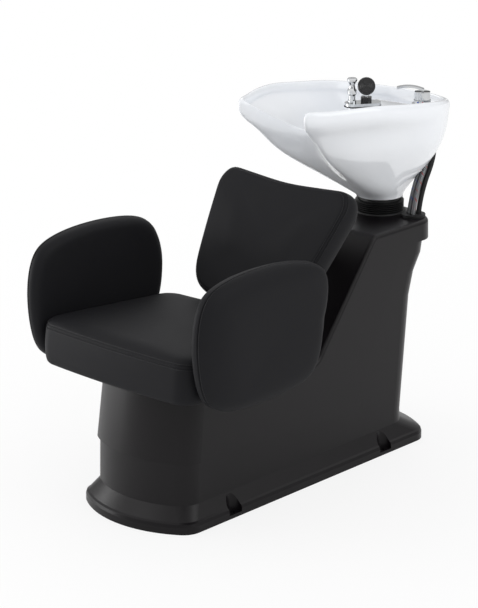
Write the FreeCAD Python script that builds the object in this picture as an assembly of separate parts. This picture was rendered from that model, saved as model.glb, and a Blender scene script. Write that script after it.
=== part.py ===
import FreeCAD, Part
import math
import os

os.makedirs("parts", exist_ok=True)
V = FreeCAD.Vector

# Shared sizes, in millimetres. X runs across, the seat faces -Y, Z is up.
# The pieces are drawn from the bowl's own datum and saved with the origin on the floor, midway
# between the four anchor holes.
overrun = 40.0
fit_gap = 0.5
run_gap = 0.05
wall = 4.0

# Height of the tap deck, which the column, its frame and the bowl follow.
deck_height = 560.0

# Floor flange and lower wall of the pedestal.
flange_half_width = 176.0
flange_front = -512.0
flange_rear = 458.0
nose_radius = 240.0
corner_radius = 58.0
flange_nose_radius = 270.0
flange_corner_radius = 50.0
rim_height = 24.0
rim_round = 7.0
rim_ease = 2.4
band_height = 57.0
lower_half_width = 150.0
lower_front = -480.0
lower_rear = 392.0
lower_top_half_width = 144.0
lower_top_front = -470.0
rear_swell_start = 85.0
rear_swell_falls = (182.0, 124.0, 82.0, 48.0)
rear_swell_heights = (rear_swell_start, *(deck_height - fall for fall in rear_swell_falls))
rear_swell_ends = (390.0, 419.0, 436.0, 463.0, 470.0)
pocket_radius = 21.0
pocket_wall = 4.0
pocket_floor = 9.0
pocket_x = 173.0
anchor_x = 163.0
pocket_front_y = -300.0
pocket_rear_y = 245.0
anchor_hole_radius = 6.5
origin_shift = V(0, -(pocket_front_y + pocket_rear_y) / 2, 0)

# Upper moulding: seat plinth, sloped column and tap deck.
column_low = 100.0
column_rise = 60.0
column_high = deck_height + column_rise
column_low_half_width = 160.0
column_high_half_width = 143.0
column_low_front = -498.0
column_high_front = -420.0
column_low_rear = 500.0
column_high_rear = 490.0
plinth_front_y = -620.0
plinth_front_top = 341.0
plinth_rear_y = 8.0
plinth_rear_top = 290.0
slope_top_y = 226.0
slope_foot_radius = 45.0
slope_top_radius = 20.0
column_edge_round = 10.0
part_front_height = 171.0
part_turn_y = 140.0
part_turn_height = 128.0
part_turn_radius = 30.0
part_knee_y = 318.0
part_knee_fall = 74.0
part_knee_height = deck_height - part_knee_fall
part_knee_radius = 40.0
part_rear_fall = 50.0
part_rear_height = deck_height - part_rear_fall
rear_limit = 640.0
part_gap = 0.6

# Steel frame inside the pedestal.
rail_x = 92.0
rail_width = 30.0
rail_height = 40.0
rail_wall = 2.5
rail_front = -420.0
rail_rear = 350.0
foot_thickness = 6.0
foot_radius = 18.0
cross_width = 50.0
cross_places = (-385.0, -210.0, 315.0)
anchor_tab_length = 70.0
anchor_tab_thickness = 5.0
post_width = 90.0
post_depth = 70.0
post_wall = 3.0
post_y = 330.0
top_plate_width = 190.0
top_plate_front = 285.0
top_plate_rear = 440.0
top_plate_thickness = 6.0
top_plate_fall = 26.0
top_plate_height = deck_height - top_plate_fall
seat_post_width = 120.0
seat_post_depth = 70.0
seat_post_y = -210.0

# Seat, tilted back about its lower front edge.
seat_tilt = 4.5
seat_front = -541.0
seat_low = 346.0
seat_half_width = 238.0
seat_length = 452.0
seat_nose_radius = 2300.0
seat_corner_radius = 38.0
seat_side_height = 98.0
seat_crown = 20.0
seat_edge_inset = 6.0
seat_crown_inset = 16.0
seat_side_shares = ((0.0, 1.0), (0.08, 0.3), (0.30, 0.0), (0.62, 0.0), (0.88, 0.15), (1.0, 0.7))
seat_crown_shares = ((0.45, 0.4), (0.85, 1.0), (1.0, 2.2))
seat_board_thickness = 12.0
seat_board_inset = 20.0
seat_plate_thickness = 5.0
seat_plate_half_width = 200.0
seat_plate_length = 300.0
seat_plate_start = 160.0
bolt_radius = 4.0
bolt_head_radius = 7.0
bolt_head_height = 5.0
seat_bolt_x = 120.0
seat_bolt_reach = 11.0

# Armrests.
arm_inner = 243.0
arm_thickness = 58.0
arm_centre_y = -312.0
arm_centre_z = 474.0
arm_outline = ((-217.0, 18.0), (-202.0, 100.0), (-162.0, 138.0), (-86.0, 154.0), (12.0, 156.0),
               (112.0, 145.0), (181.0, 115.0), (212.0, 58.0), (218.0, -4.0), (204.0, -74.0),
               (170.0, -124.0), (118.0, -147.0), (18.0, -158.0), (-90.0, -157.0), (-160.0, -138.0),
               (-202.0, -86.0))
arm_sweep = 30.0
arm_depth_shares = (0.0, 0.08, 0.26, 0.52, 0.72, 0.86, 0.95, 1.0)
arm_size_shares = (0.88, 0.95, 0.99, 1.0, 0.975, 0.92, 0.84, 0.70)
arm_sweep_shares = (0.0, 0.0, 0.0, 0.12, 0.35, 0.62, 0.85, 1.0)
arm_leg_thickness = 6.0
arm_leg_depth = 14.0
arm_leg_length = 120.0
arm_leg_top = 470.0
arm_leg_y = -320.0
arm_bar_start = 164.0
arm_bolt_x = 180.0
arm_bolt_half_pitch = 40.0

# Back rest, leaning with the column front.
back_lean = 35.0
back_foot_y = -125.0
back_foot_z = 448.0
back_height = 327.0
back_x_shares = (0.0, 0.40, 0.66, 0.80, 0.85, 0.92, 0.98, 1.0, 0.91, 0.72, 0.40)
back_s_shares = (0.0, 0.005, 0.035, 0.14, 0.33, 0.58, 0.78, 0.90, 0.99, 0.995, 0.968, 0.952)
back_half_top = 205.0
back_thickness = 78.0
back_depth_shares = (0.0, 0.10, 0.34, 0.68, 0.88, 1.0)
back_size_shares = (0.90, 0.965, 1.0, 0.985, 0.93, 0.80)
back_board_thickness = 12.0
back_board_share = 0.80
back_plate_thickness = 6.0
back_plate_width = 170.0
back_plate_low = 90.0
back_plate_height = 130.0
back_screw_x = 70.0
back_screw_s = 50.0
back_screw_reach = 10.0
back_bar_x = 28.0
back_bar_radius = 11.0

# Bowl, tilted back a little at rest, with its tilt axis inside the gaiter.
axis_y = 417.0
axis_rise = 6.0
axis_z = deck_height + axis_rise
foot_rise = 34.0
foot_height = axis_z + foot_rise
bowl_height = 293.0
bowl_origin_y = 10.0
bowl_origin_z = foot_height + bowl_height
bowl_length = 556.0
rim_fall = 52.0
bowl_half_width = 188.0
neck_drop = 92.0
bowl_foot_radius = 58.0
foot_bore_radius = 46.0
foot_bore_depth = 14.0
drain_rise = 42.0
drain_height = foot_height + drain_rise
drain_radius = 34.0
drain_hole_radius = 22.0
drain_seat_depth = 4.0
drain_flange_thickness = 2.0
strainer_seat_radius = 32.0
strainer_radius = 26.0
strainer_thickness = 1.5
strainer_knob_radius = 4.0
strainer_knob_height = 8.0
strainer_hole_radius = 2.2
strainer_ring_shares = (0.45, 0.75)
strainer_ring_counts = (6, 12)
rim_aim_y = 340.0
rim_roll = 17.0
rim_roll_drop = 9.0
ledge_width = 96.0
ledge_drop = 9.0
ledge_round = 6.0
roll_step_shares = (0.08, 0.30, 0.55, 0.80, 1.0)
roll_rise_shares = (0.45, 0.06, 0.0, 0.12, 0.75)
rim_x_shares = (0.0, 0.38, 0.70, 0.90, 0.985, 1.0, 0.965, 0.84, 0.70, 0.55, 0.42, 0.24, 0.0)
rim_y_shares = (1.0, 0.983, 0.918, 0.805, 0.665, 0.50, 0.348, 0.194, 0.081, 0.005, 0.097, 0.238, 0.298)
rim_fall_shares = (1.0, 0.98, 0.88, 0.66, 0.45, 0.25, 0.06, 0.0, 0.0, 0.0, 0.0, 0.0, 0.0)
rim_dip_shares = (0.0, 0.0, 0.0, 0.0, 0.0, 0.0, 0.0, 0.0, 0.0, 0.02, 0.40, 0.88, 1.0)
ledge_shares = (0.10, 0.30, 0.70, 0.95, 1.0, 1.0, 0.90, 0.45, 0.12, 0.0, 0.0, 0.0, 0.0)
hull_height_shares = (1.0, 0.93, 0.80, 0.62, 0.42, 0.22, 0.08)
hull_blend_shares = (1.0, 0.90, 0.68, 0.40, 0.17, 0.045, 0.0)
hull_lean_shares = (1.35, 1.3, 1.15, 0.95, 0.75, 0.62, 0.58, 0.6, 0.66, 0.72, 0.78, 0.86, 0.92)
basin_lean_shares = (1.35, 1.3, 1.15, 0.95, 0.75, 0.6, 0.52, 0.48, 0.46, 0.48, 0.6, 0.8, 0.9)
basin_height_shares = (0.12, 0.30, 0.50, 0.68, 0.82, 0.93, 1.0)
basin_blend_shares = (0.03, 0.11, 0.24, 0.42, 0.62, 0.82, 1.0)

# Tilt joint between column and bowl.
ear_thickness = 6.0
ear_x = 32.0
ear_radius = 14.0
cheek_thickness = 6.0
trunnion_radius = 6.0
trunnion_head_radius = 9.0
trunnion_head_height = 4.0
head_plate_radius = 52.0
head_plate_thickness = 6.0
head_seal_thickness = 3.0
tail_radius = 20.0
tail_wall = 2.5
tail_length = 120.0
deck_hole_radius = 60.0
gaiter_low_radius = 66.0
gaiter_rib_radius = 61.0
gaiter_root_radius = 55.5
gaiter_wall = 2.0
gaiter_ribs = 6
gaiter_seat_height = 4.0
rib_rise_shares = (0.12, 0.40, 0.72, 1.0)

# Taps on the bowl's ledge.
plate_length = 92.0
plate_width = 46.0
plate_thickness = 7.0
plate_turn = 35.0
plate_gasket_thickness = 2.5
plate_gasket_inset = 1.0
plate_seat_fall = 16.0
tap_hole_radius = 11.0
tap_shank_reach = 14.0
tap_hole_depth = 18.0
plate_x = 106.0
plate_y = 218.0
breaker_offset = -26.5
guide_offset = 8.5
breaker_profile = ((10.0, 0.0), (10.0, 6.0), (8.0, 8.0), (8.0, 17.0), (11.5, 22.0), (11.5, 30.0),
                   (8.0, 35.0), (7.0, 40.0), (7.0, 43.0))
breaker_cap_profile = ((7.0, 43.5), (10.0, 50.0), (12.2, 53.0), (12.2, 57.0), (10.0, 59.5))
guide_radius = 13.0
guide_height = 13.0
spray_profile = ((9.0, 0.0), (12.0, 5.0), (20.5, 11.0), (21.0, 15.0), (21.0, 22.0), (18.5, 24.5))
spray_lean = 68.0
spray_heading = 40.0
spray_rise = 22.0
neck_radius = 6.0
mixer_x = 148.0
mixer_y = 392.0
mixer_seat_fall = 36.0
mixer_hole_radius = 16.0
mixer_shank_reach = 16.0
mixer_radius = 21.0
mixer_height = 13.0
mixer_flange_radius = 25.0
mixer_flange_height = 4.0
cap_radius = 19.5
cap_height = 19.0
lever_length = 62.0
lever_width = 17.0
lever_thickness = 4.5
lever_rise = 7.0
lever_heading = 128.0
lever_pin_radius = 2.0
lever_boss_width = 9.0
lever_boss_radius = 4.2
lever_clearance = 2.0

# Supply hoses and their grommet on the deck.
grommet_x = 100.0
grommet_y = 428.0
grommet_radius = 30.0
grommet_height = 7.0
grommet_hole_radius = 24.0
hose_radius = 5.6
spray_hose_radius = 6.4
hose_foot_fall = 38.0
hose_foot = deck_height - hose_foot_fall
hose_spread = 12.0
hose_upright = 40.0
hose_bend = 90.0
hose_exit_x = 88.0
hose_exit_y = 516.0
hose_exit_rise = 116.0
hose_exit_z = foot_height + hose_exit_rise
cold_hose_shares = (-1.0, -0.35)
hot_hose_shares = (0.35, -0.75)
spray_hose_shares = (0.55, 0.75)


def rounded_box(length_x, length_y, length_z, centre_x, centre_y, low):
    """A plain block, centred in X and Y, standing on the height low."""
    return Part.makeBox(length_x, length_y, length_z,
                        V(centre_x - length_x / 2, centre_y - length_y / 2, low))


def rod(radius, start, end):
    """A round bar between two points."""
    way = V(*end) - V(*start)
    return Part.makeCylinder(radius, way.Length, V(*start), way)


def tube_box(length_x, length_y, length_z, thickness, centre_x, centre_y, low, along):
    """A rectangular hollow section, open along X, Y or Z."""
    inner = [length_x - 2 * thickness, length_y - 2 * thickness, length_z - 2 * thickness]
    inner[along] += 2 * thickness + 2 * overrun
    lift = -overrun if along == 2 else thickness
    outer = rounded_box(length_x, length_y, length_z, centre_x, centre_y, low)
    return outer.cut(rounded_box(inner[0], inner[1], inner[2], centre_x, centre_y, low + lift))


def plan_wire(half_width, front, rear, height, nose=nose_radius, corner=corner_radius):
    """The pedestal's plan: straight sides, a shallow arc at both ends, rounded corners."""
    inset = half_width - corner
    reach = nose - corner
    rise = math.sqrt(reach * reach - inset * inset)
    toward = (inset / reach, rise / reach)
    half = math.hypot(1 + toward[0], toward[1])
    middle = ((1 + toward[0]) / half, toward[1] / half)
    ends = []
    for sign, limit in ((-1, front), (1, rear)):
        centre = limit - sign * nose
        turn = centre + sign * rise
        ends.append((V(half_width, turn, height),
                     V(inset + corner * middle[0], turn + sign * corner * middle[1], height),
                     V(nose * toward[0], centre + sign * nose * toward[1], height),
                     V(0, limit, height)))
    low, high = ends

    def flip(point):
        return V(-point.x, point.y, point.z)

    edges = [Part.makeLine(low[0], high[0]),
             Part.Arc(high[0], high[1], high[2]).toShape(),
             Part.Arc(high[2], high[3], flip(high[2])).toShape(),
             Part.Arc(flip(high[2]), flip(high[1]), flip(high[0])).toShape(),
             Part.makeLine(flip(high[0]), flip(low[0])),
             Part.Arc(flip(low[0]), flip(low[1]), flip(low[2])).toShape(),
             Part.Arc(flip(low[2]), low[3], low[2]).toShape(),
             Part.Arc(low[2], low[1], low[0]).toShape()]
    return Part.Wire(edges)


def rounded_polygon(corners):
    """A closed wire in the YZ plane from (y, z, radius) corners with tangent arcs."""
    count = len(corners)
    runs = []
    for k in range(count):
        here = V(0, corners[k][0], corners[k][1])
        before = V(0, corners[k - 1][0], corners[k - 1][1])
        after = V(0, corners[(k + 1) % count][0], corners[(k + 1) % count][1])
        radius = corners[k][2]
        if radius == 0:
            runs.append((here, None, here))
            continue
        back = (before - here).normalize()
        ahead = (after - here).normalize()
        half = math.acos(max(-1.0, min(1.0, back.dot(ahead)))) / 2
        reach = radius / math.tan(half)
        bisector = (back + ahead).normalize()
        middle = here + bisector * (radius / math.sin(half) - radius)
        runs.append((here + back * reach, middle, here + ahead * reach))
    edges = []
    for k in range(count):
        start, middle, end = runs[k]
        if middle is not None:
            edges.append(Part.Arc(start, middle, end).toShape())
        edges.append(Part.makeLine(end, runs[(k + 1) % count][0]))
    return Part.Wire(edges)


def across(wire, half_width):
    """A prism from a YZ wire, running the same way to both sides."""
    face = Part.Face(wire)
    return face.extrude(V(2 * half_width, 0, 0)).translated(V(-half_width, 0, 0))


def mirror_x(shape):
    """The same piece on the other side."""
    return shape.mirror(V(0, 0, 0), V(1, 0, 0))


def turned(profile):
    """A solid of revolution about Z from (radius, height) corners."""
    points = [V(0, 0, profile[0][1])]
    points += [V(radius, 0, height) for radius, height in profile]
    points += [V(0, 0, profile[-1][1]), V(0, 0, profile[0][1])]
    return Part.Face(Part.makePolygon(points)).revolve(V(0, 0, 0), V(0, 0, 1), 360)


def closed_curve(points):
    """A smooth closed curve through the points."""
    curve = Part.BSplineCurve()
    steps = [k / len(points) for k in range(len(points) + 1)]
    curve.interpolate(Points=points, PeriodicFlag=True, Parameters=steps)
    return Part.Wire([curve.toShape()])


def save(shape, name):
    """Write one piece."""
    shape.translated(origin_shift).exportStep("parts/" + name + ".step")


# The pedestal's two mouldings are cut from the same plan along one parting line.
part_line = [(plinth_front_y, part_front_height, 0.0),
             (part_turn_y, part_turn_height, part_turn_radius),
             (part_knee_y, part_knee_height, part_knee_radius),
             (part_knee_y + corner_radius, part_rear_height, 0.0),
             (rear_limit, part_rear_height, 0.0)]


def upper_profile(shift_y, shift_z, low_line):
    """Side profile of the upper moulding: plinth top, sloped front and deck over low_line."""
    top = [(rear_limit, deck_height, 0.0),
           (slope_top_y, deck_height, slope_top_radius),
           (plinth_rear_y, plinth_rear_top, slope_foot_radius),
           (plinth_front_y, plinth_front_top, 0.0)]
    moved = [(y + shift_y, z + shift_z, radius) for y, z, radius in top]
    moved[0] = (rear_limit, moved[0][1], 0.0)
    moved[3] = (plinth_front_y, moved[3][1], 0.0)
    return rounded_polygon(low_line + moved)


def column_plan(inset):
    """The upper moulding's plan, drawn in a little toward the top."""
    low = plan_wire(column_low_half_width - inset, column_low_front + inset, column_low_rear - inset,
                    column_low - overrun)
    high = plan_wire(column_high_half_width - inset, column_high_front + inset,
                     column_high_rear - inset, column_high)
    return Part.makeLoft([low, high], True, True)


def lower_body(inset):
    """Flange, sloped band and lower wall as one solid; the inset gives the hollow inside."""
    drop = 0 if inset == 0 else overrun
    steps = [(0 - drop, 0), (rim_height - rim_round - inset, 0), (rim_height - inset, rim_ease),
             (rim_height + rim_round / 2 - inset, rim_round)]
    wires = []
    for height, step in steps:
        drawn = inset + step
        wires.append(plan_wire(flange_half_width - drawn, flange_front + drawn, flange_rear - drawn, height,
                               flange_nose_radius, flange_corner_radius))
    wires.append(plan_wire(lower_half_width - inset, lower_front + inset, lower_rear - inset,
                           band_height - inset))
    top = rear_swell_heights[-1]
    for height, rear in zip(rear_swell_heights, rear_swell_ends):
        share = (height - band_height) / (top - band_height)
        half = lower_half_width + (lower_top_half_width - lower_half_width) * share
        front = lower_front + (lower_top_front - lower_front) * share
        wires.append(plan_wire(half - inset, front + inset, rear - inset, height))
    if inset:
        wires.append(plan_wire(lower_top_half_width - inset, lower_top_front + inset,
                               rear_swell_ends[-1] - inset, top + overrun))
    return Part.makeLoft(wires, True, True)


pocket_places = [(side * pocket_x, y) for side in (-1, 1) for y in (pocket_front_y, pocket_rear_y)]
above_line = rounded_polygon(part_line + [(rear_limit, column_high, 0.0),
                                          (plinth_front_y, column_high, 0.0)])
above = across(above_line, flange_half_width + overrun)

outer_lower = lower_body(0)
base_shell = outer_lower.cut(lower_body(wall))
for x, y in pocket_places:
    cup = Part.makeCylinder(pocket_radius + pocket_wall, band_height, V(x, y, 0))
    base_shell = base_shell.fuse(cup.common(outer_lower))
for x, y in pocket_places:
    side = 1 if x > 0 else -1
    well = Part.makeCylinder(pocket_radius, band_height + overrun, V(x, y, pocket_floor))
    mouth = rounded_box(2 * pocket_radius, 2 * pocket_radius, band_height + overrun,
                        x + side * pocket_radius, y, pocket_floor)
    base_shell = base_shell.cut(well).cut(mouth)
    anchor_hole = Part.makeCylinder(anchor_hole_radius, overrun, V(side * anchor_x, y, -overrun / 2))
    base_shell = base_shell.cut(anchor_hole)
base_shell = base_shell.cut(above.translated(V(0, 0, -part_gap)))
save(base_shell.removeSplitter(), "base_shell")

outer_column = across(upper_profile(0, 0, part_line), flange_half_width + overrun).common(column_plan(0))


def on_top_edge(edge):
    """Whether an edge runs round the top of the moulding: plinth, slope or deck."""
    box = edge.BoundBox
    above_rear_line = box.ZMax > part_rear_height + wall or box.YMax < slope_top_y
    return box.YLength > wall and box.ZMin > plinth_rear_top and above_rear_line


top_edges = [edge for edge in outer_column.Edges if on_top_edge(edge)]
outer_column = outer_column.makeFillet(column_edge_round, top_edges)
hollow_line = [(plinth_front_y, -overrun, 0.0), (rear_limit, -overrun, 0.0)]
slope_angle = math.atan2(deck_height - plinth_rear_top, slope_top_y - plinth_rear_y)
slope_shift = wall * (1 - math.cos(slope_angle)) / math.sin(slope_angle)
inner_column = across(upper_profile(slope_shift, -wall, hollow_line), flange_half_width + overrun)
inner_column = inner_column.common(column_plan(wall))
column_shell = outer_column.cut(inner_column)
deck_hole = Part.makeCylinder(deck_hole_radius, overrun, V(0, axis_y, deck_height - overrun / 2))
hose_hole = Part.makeCylinder(grommet_hole_radius, overrun,
                              V(grommet_x, grommet_y, deck_height - overrun / 2))
seat_hole = rounded_box(seat_post_width + wall, seat_post_depth + wall, 2 * overrun, 0, seat_post_y,
                        plinth_rear_top - overrun / 2)
column_shell = column_shell.cut(deck_hole).cut(hose_hole).cut(seat_hole)


def tangent_path(points, radius):
    """Straight runs through the points, joined by tangent arcs of one radius."""
    corners = [V(*point) for point in points]
    edges = []
    start = corners[0]
    for before, here, after in zip(corners, corners[1:], corners[2:]):
        back = (before - here).normalize()
        ahead = (after - here).normalize()
        half = math.acos(max(-1.0, min(1.0, back.dot(ahead)))) / 2
        reach = radius / math.tan(half)
        bend_in = here + back * reach
        bend_out = here + ahead * reach
        middle = here + (back + ahead).normalize() * (radius / math.sin(half) - radius)
        edges.append(Part.makeLine(start, bend_in))
        edges.append(Part.Arc(bend_in, middle, bend_out).toShape())
        start = bend_out
    edges.append(Part.makeLine(start, corners[-1]))
    return Part.Wire(edges)


def hose(points, radius, bend):
    """A round hose swept along its path."""
    path = tangent_path(points, bend)
    start = path.OrderedVertexes[0].Point
    way = path.OrderedEdges[0].tangentAt(path.OrderedEdges[0].FirstParameter)
    ring = Part.Wire([Part.makeCircle(radius, start, way)])
    return path.makePipeShell([ring], True, False)


def bolts_along(places, way, shank, head_side=-1):
    """Separate hex-socket bolts: a head on the face and a shank running along way."""
    solids = []
    for place in places:
        here = V(*place)
        head = Part.makeCylinder(bolt_head_radius, bolt_head_height, here, way * head_side)
        solids.append(head.fuse(Part.makeCylinder(bolt_radius, shank, here, way)).removeSplitter())
    return Part.makeCompound(solids)


def bolt_shanks(places, way, depth):
    """The round bores that bolt shanks fill, as one cutting shape."""
    return Part.makeCompound([Part.makeCylinder(bolt_radius, depth, V(*place), way) for place in places])


def bolt_holes(shape, places, way, depth):
    """Blind or through holes that the bolt shanks fill."""
    return shape.cut(bolt_shanks(places, way, depth))


# Steel frame: two rails on rubber feet, cross members, anchor tabs, the two posts and their plates.
rail_low = foot_thickness
frame = []
for side in (-1, 1):
    frame.append(tube_box(rail_width, rail_rear - rail_front, rail_height, rail_wall, side * rail_x,
                          (rail_front + rail_rear) / 2, rail_low, 1))
for y in cross_places:
    frame.append(tube_box(2 * rail_x - rail_width, cross_width, rail_height, rail_wall, 0, y, rail_low, 0))
for x, y in pocket_places:
    side = 1 if x > 0 else -1
    near = rail_x + rail_width / 2
    tab_end = pocket_x - pocket_radius - pocket_wall - fit_gap
    frame.append(rounded_box(tab_end - near, anchor_tab_length, anchor_tab_thickness,
                             side * (near + tab_end) / 2, y, rail_low))
floor_frame = frame[0].multiFuse(frame[1:]).removeSplitter()
save(floor_frame, "floor_frame")

foot_y = (rail_front + overrun, 0, rail_rear - overrun)
foot_places = [(side * rail_x, y) for side in (-1, 1) for y in foot_y]
feet = [Part.makeCylinder(foot_radius, foot_thickness, V(x, y, 0)) for x, y in foot_places]
save(Part.makeCompound([foot.common(rounded_box(rail_width, 2 * foot_radius, overrun, x, y, 0))
                        for foot, (x, y) in zip(feet, foot_places)]), "rubber_feet")

post_low = rail_low + rail_height
save(tube_box(post_width, post_depth, top_plate_height - post_low, post_wall, 0, post_y, post_low, 2),
     "column_post")

top_plate = rounded_box(top_plate_width, top_plate_rear - top_plate_front, top_plate_thickness, 0,
                        (top_plate_front + top_plate_rear) / 2, top_plate_height)
waste_hole = Part.makeCylinder(tail_radius + tail_wall + ear_thickness, overrun,
                               V(0, axis_y, top_plate_height - overrun / 2))
hose_slot = Part.makeCylinder(grommet_hole_radius + wall, overrun,
                              V(grommet_x, grommet_y, top_plate_height - overrun / 2))
top_plate = top_plate.cut(waste_hole).cut(hose_slot)
save(top_plate, "top_plate")

# Fork on the top plate: two cheeks that hold the bowl's trunnion pins.
fork_low = top_plate_height + top_plate_thickness
cheek_inner = ear_x + ear_thickness / 2 + fit_gap
cheek_middle = cheek_inner + cheek_thickness / 2
fork = []
for side in (-1, 1):
    web = rounded_box(cheek_thickness, 2 * ear_radius, axis_z - fork_low, side * cheek_middle, axis_y,
                      fork_low)
    web = web.fuse(rod(ear_radius, (side * cheek_inner, axis_y, axis_z),
                       (side * (cheek_inner + cheek_thickness), axis_y, axis_z)))
    web = web.cut(rod(trunnion_radius, (side * (cheek_inner - overrun), axis_y, axis_z),
                      (side * (cheek_inner + overrun), axis_y, axis_z)))
    fork.append(web.removeSplitter())
save(Part.makeCompound(fork), "tilt_fork")

ear_inner = ear_x - ear_thickness / 2
pins = []
for side in (-1, 1):
    outer_face = cheek_inner + cheek_thickness
    shank = rod(trunnion_radius, (side * ear_inner, axis_y, axis_z), (side * outer_face, axis_y, axis_z))
    head = rod(trunnion_head_radius, (side * outer_face, axis_y, axis_z),
               (side * (outer_face + trunnion_head_height), axis_y, axis_z))
    pins.append(shank.fuse(head).removeSplitter())
save(Part.makeCompound(pins), "trunnion_pins")

# Seat group, built level and then tilted back about the lower front edge.
seat_hinge = V(0, seat_front, seat_low)
across_axis = V(1, 0, 0)


def seat_place(shape):
    """Tilt a level piece with the seat."""
    moved = shape.copy()
    moved.rotate(seat_hinge, across_axis, -seat_tilt)
    return moved


def seat_wire(inset, height):
    """Seat outline at one height, with a bowed front."""
    return plan_wire(seat_half_width - inset, seat_front + inset, seat_front + seat_length - inset, height,
                     seat_nose_radius, seat_corner_radius)


seat_side_top = seat_low + seat_side_height
seat_rings = [seat_wire(seat_edge_inset * inset, seat_low + seat_side_height * rise)
              for rise, inset in seat_side_shares]
seat_rings += [seat_wire(seat_crown_inset * inset, seat_side_top + seat_crown * rise)
               for rise, inset in seat_crown_shares]
seat_plate_end = seat_plate_start + seat_plate_length
seat_bolt_y = (seat_front + seat_plate_start + overrun, seat_front + seat_plate_end - overrun)
plate_low = seat_low - seat_plate_thickness
seat_bolts_at = [(side * seat_bolt_x, y, plate_low) for side in (-1, 1) for y in seat_bolt_y]
bar_low = plate_low - seat_plate_thickness
arm_bolts_at = [(arm_bolt_x, arm_leg_y + step * arm_bolt_half_pitch, bar_low) for step in (-1, 1)]
arm_bolt_length = 2 * seat_plate_thickness
up = V(0, 0, 1)
arm_shanks = bolt_shanks(arm_bolts_at, up, arm_bolt_length)
board_pocket = Part.Face(seat_wire(seat_board_inset - run_gap, seat_low - overrun))
board_pocket = board_pocket.extrude(V(0, 0, overrun + seat_board_thickness + run_gap))
seat_cushion = Part.makeLoft(seat_rings, True, True).cut(board_pocket)
save(seat_place(seat_cushion), "seat_cushion")

seat_board = Part.Face(seat_wire(seat_board_inset, seat_low)).extrude(V(0, 0, seat_board_thickness))
seat_board = bolt_holes(seat_board, seat_bolts_at, up, seat_plate_thickness + seat_bolt_reach)
save(seat_place(seat_board), "seat_board")

seat_plate = rounded_box(2 * seat_plate_half_width, seat_plate_length, seat_plate_thickness, 0,
                         seat_front + seat_plate_start + seat_plate_length / 2, plate_low)
seat_plate = bolt_holes(seat_plate, seat_bolts_at, up, seat_plate_thickness)
seat_plate = seat_plate.cut(arm_shanks).cut(mirror_x(arm_shanks))
save(seat_place(seat_plate), "seat_plate")
save(seat_place(bolts_along(seat_bolts_at, up, seat_plate_thickness + seat_bolt_reach)), "seat_bolts")

plate_under = rounded_box(2 * seat_half_width, 2 * seat_length, 2 * overrun, 0, seat_front, plate_low)
plate_under = seat_place(plate_under)
seat_post = tube_box(seat_post_width, seat_post_depth, plate_low - post_low, post_wall, 0, seat_post_y,
                     post_low, 2)
save(seat_post.cut(plate_under).removeSplitter(), "seat_post")

# Armrests: domed pads slid over upturned steel legs, whose bars are bolted under the seat plate.
arm_points = [V(0, y, z) for y, z in arm_outline]
arm_middle = V(0, arm_centre_y, arm_centre_z)
arm_rings = []
for depth, size, sweep in zip(arm_depth_shares, arm_size_shares, arm_sweep_shares):
    shift = arm_middle + V(arm_inner + arm_thickness * depth, arm_sweep * sweep, 0)
    arm_rings.append(closed_curve([shift + point * size for point in arm_points]))
leg_inner = arm_inner + arm_leg_depth
leg_front = arm_leg_y - arm_leg_length / 2
bar = Part.makeBox(leg_inner + arm_leg_thickness - arm_bar_start, arm_leg_length, seat_plate_thickness,
                   V(arm_bar_start, leg_front, bar_low))
bar = seat_place(bar)
leg_foot = bar.BoundBox.ZMin
leg = Part.makeBox(arm_leg_thickness, bar.BoundBox.YLength, arm_leg_top - leg_foot,
                   V(leg_inner, bar.BoundBox.YMin, leg_foot))
bracket = bar.fuse(leg).removeSplitter()
leg_slot = Part.makeBox(arm_leg_thickness + 2 * run_gap, leg.BoundBox.YLength + 2 * run_gap,
                        arm_leg_top + run_gap - leg_foot + overrun,
                        V(leg_inner - run_gap, leg.BoundBox.YMin - run_gap, leg_foot - overrun))
bar_slot = Part.makeBox(leg_inner - arm_bar_start, leg.BoundBox.YLength + 2 * run_gap,
                        bar.BoundBox.ZLength + 2 * run_gap + overrun,
                        V(arm_bar_start, leg.BoundBox.YMin - run_gap, leg_foot - run_gap - overrun))
armrest = Part.makeLoft(arm_rings, True, False).cut(leg_slot.fuse(bar_slot))
bracket = bracket.cut(seat_place(arm_shanks))
arm_bolts = seat_place(bolts_along(arm_bolts_at, up, arm_bolt_length))
save(armrest, "right_armrest")
save(mirror_x(armrest), "left_armrest")
save(bracket, "right_arm_bracket")
save(mirror_x(bracket), "left_arm_bracket")
save(Part.makeCompound(arm_bolts.Solids + mirror_x(arm_bolts).Solids), "arm_bolts")

# Back rest: a waisted cushion with raised corners, its board and the bracket to the column post.
lean = math.radians(back_lean)
rise_way = V(0, math.sin(lean), math.cos(lean))
rear_way = V(0, math.cos(lean), -math.sin(lean))
back_foot = V(0, back_foot_y, back_foot_z)
back_half = [(back_half_top * x, back_height * s) for x, s in zip(back_x_shares, back_s_shares)]
back_points = back_half + [(0.0, back_height * back_s_shares[-1])] + [(-x, s) for x, s in back_half[:0:-1]]


def back_at(x, s, depth):
    """A point of the back rest from its width, its height up the lean and its depth from the front."""
    return back_foot + V(x, 0, 0) + rise_way * s + rear_way * depth


def back_ring(size, depth):
    """The cushion's outline, scaled about its middle, at one depth."""
    middle = back_height / 2
    return closed_curve([back_at(x * size, middle + (s - middle) * size, depth) for x, s in back_points])


back_rings = [back_ring(size, back_thickness * (1 - depth))
              for depth, size in zip(back_depth_shares, back_size_shares)]
save(Part.makeLoft(back_rings, True, False), "back_cushion")

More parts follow.
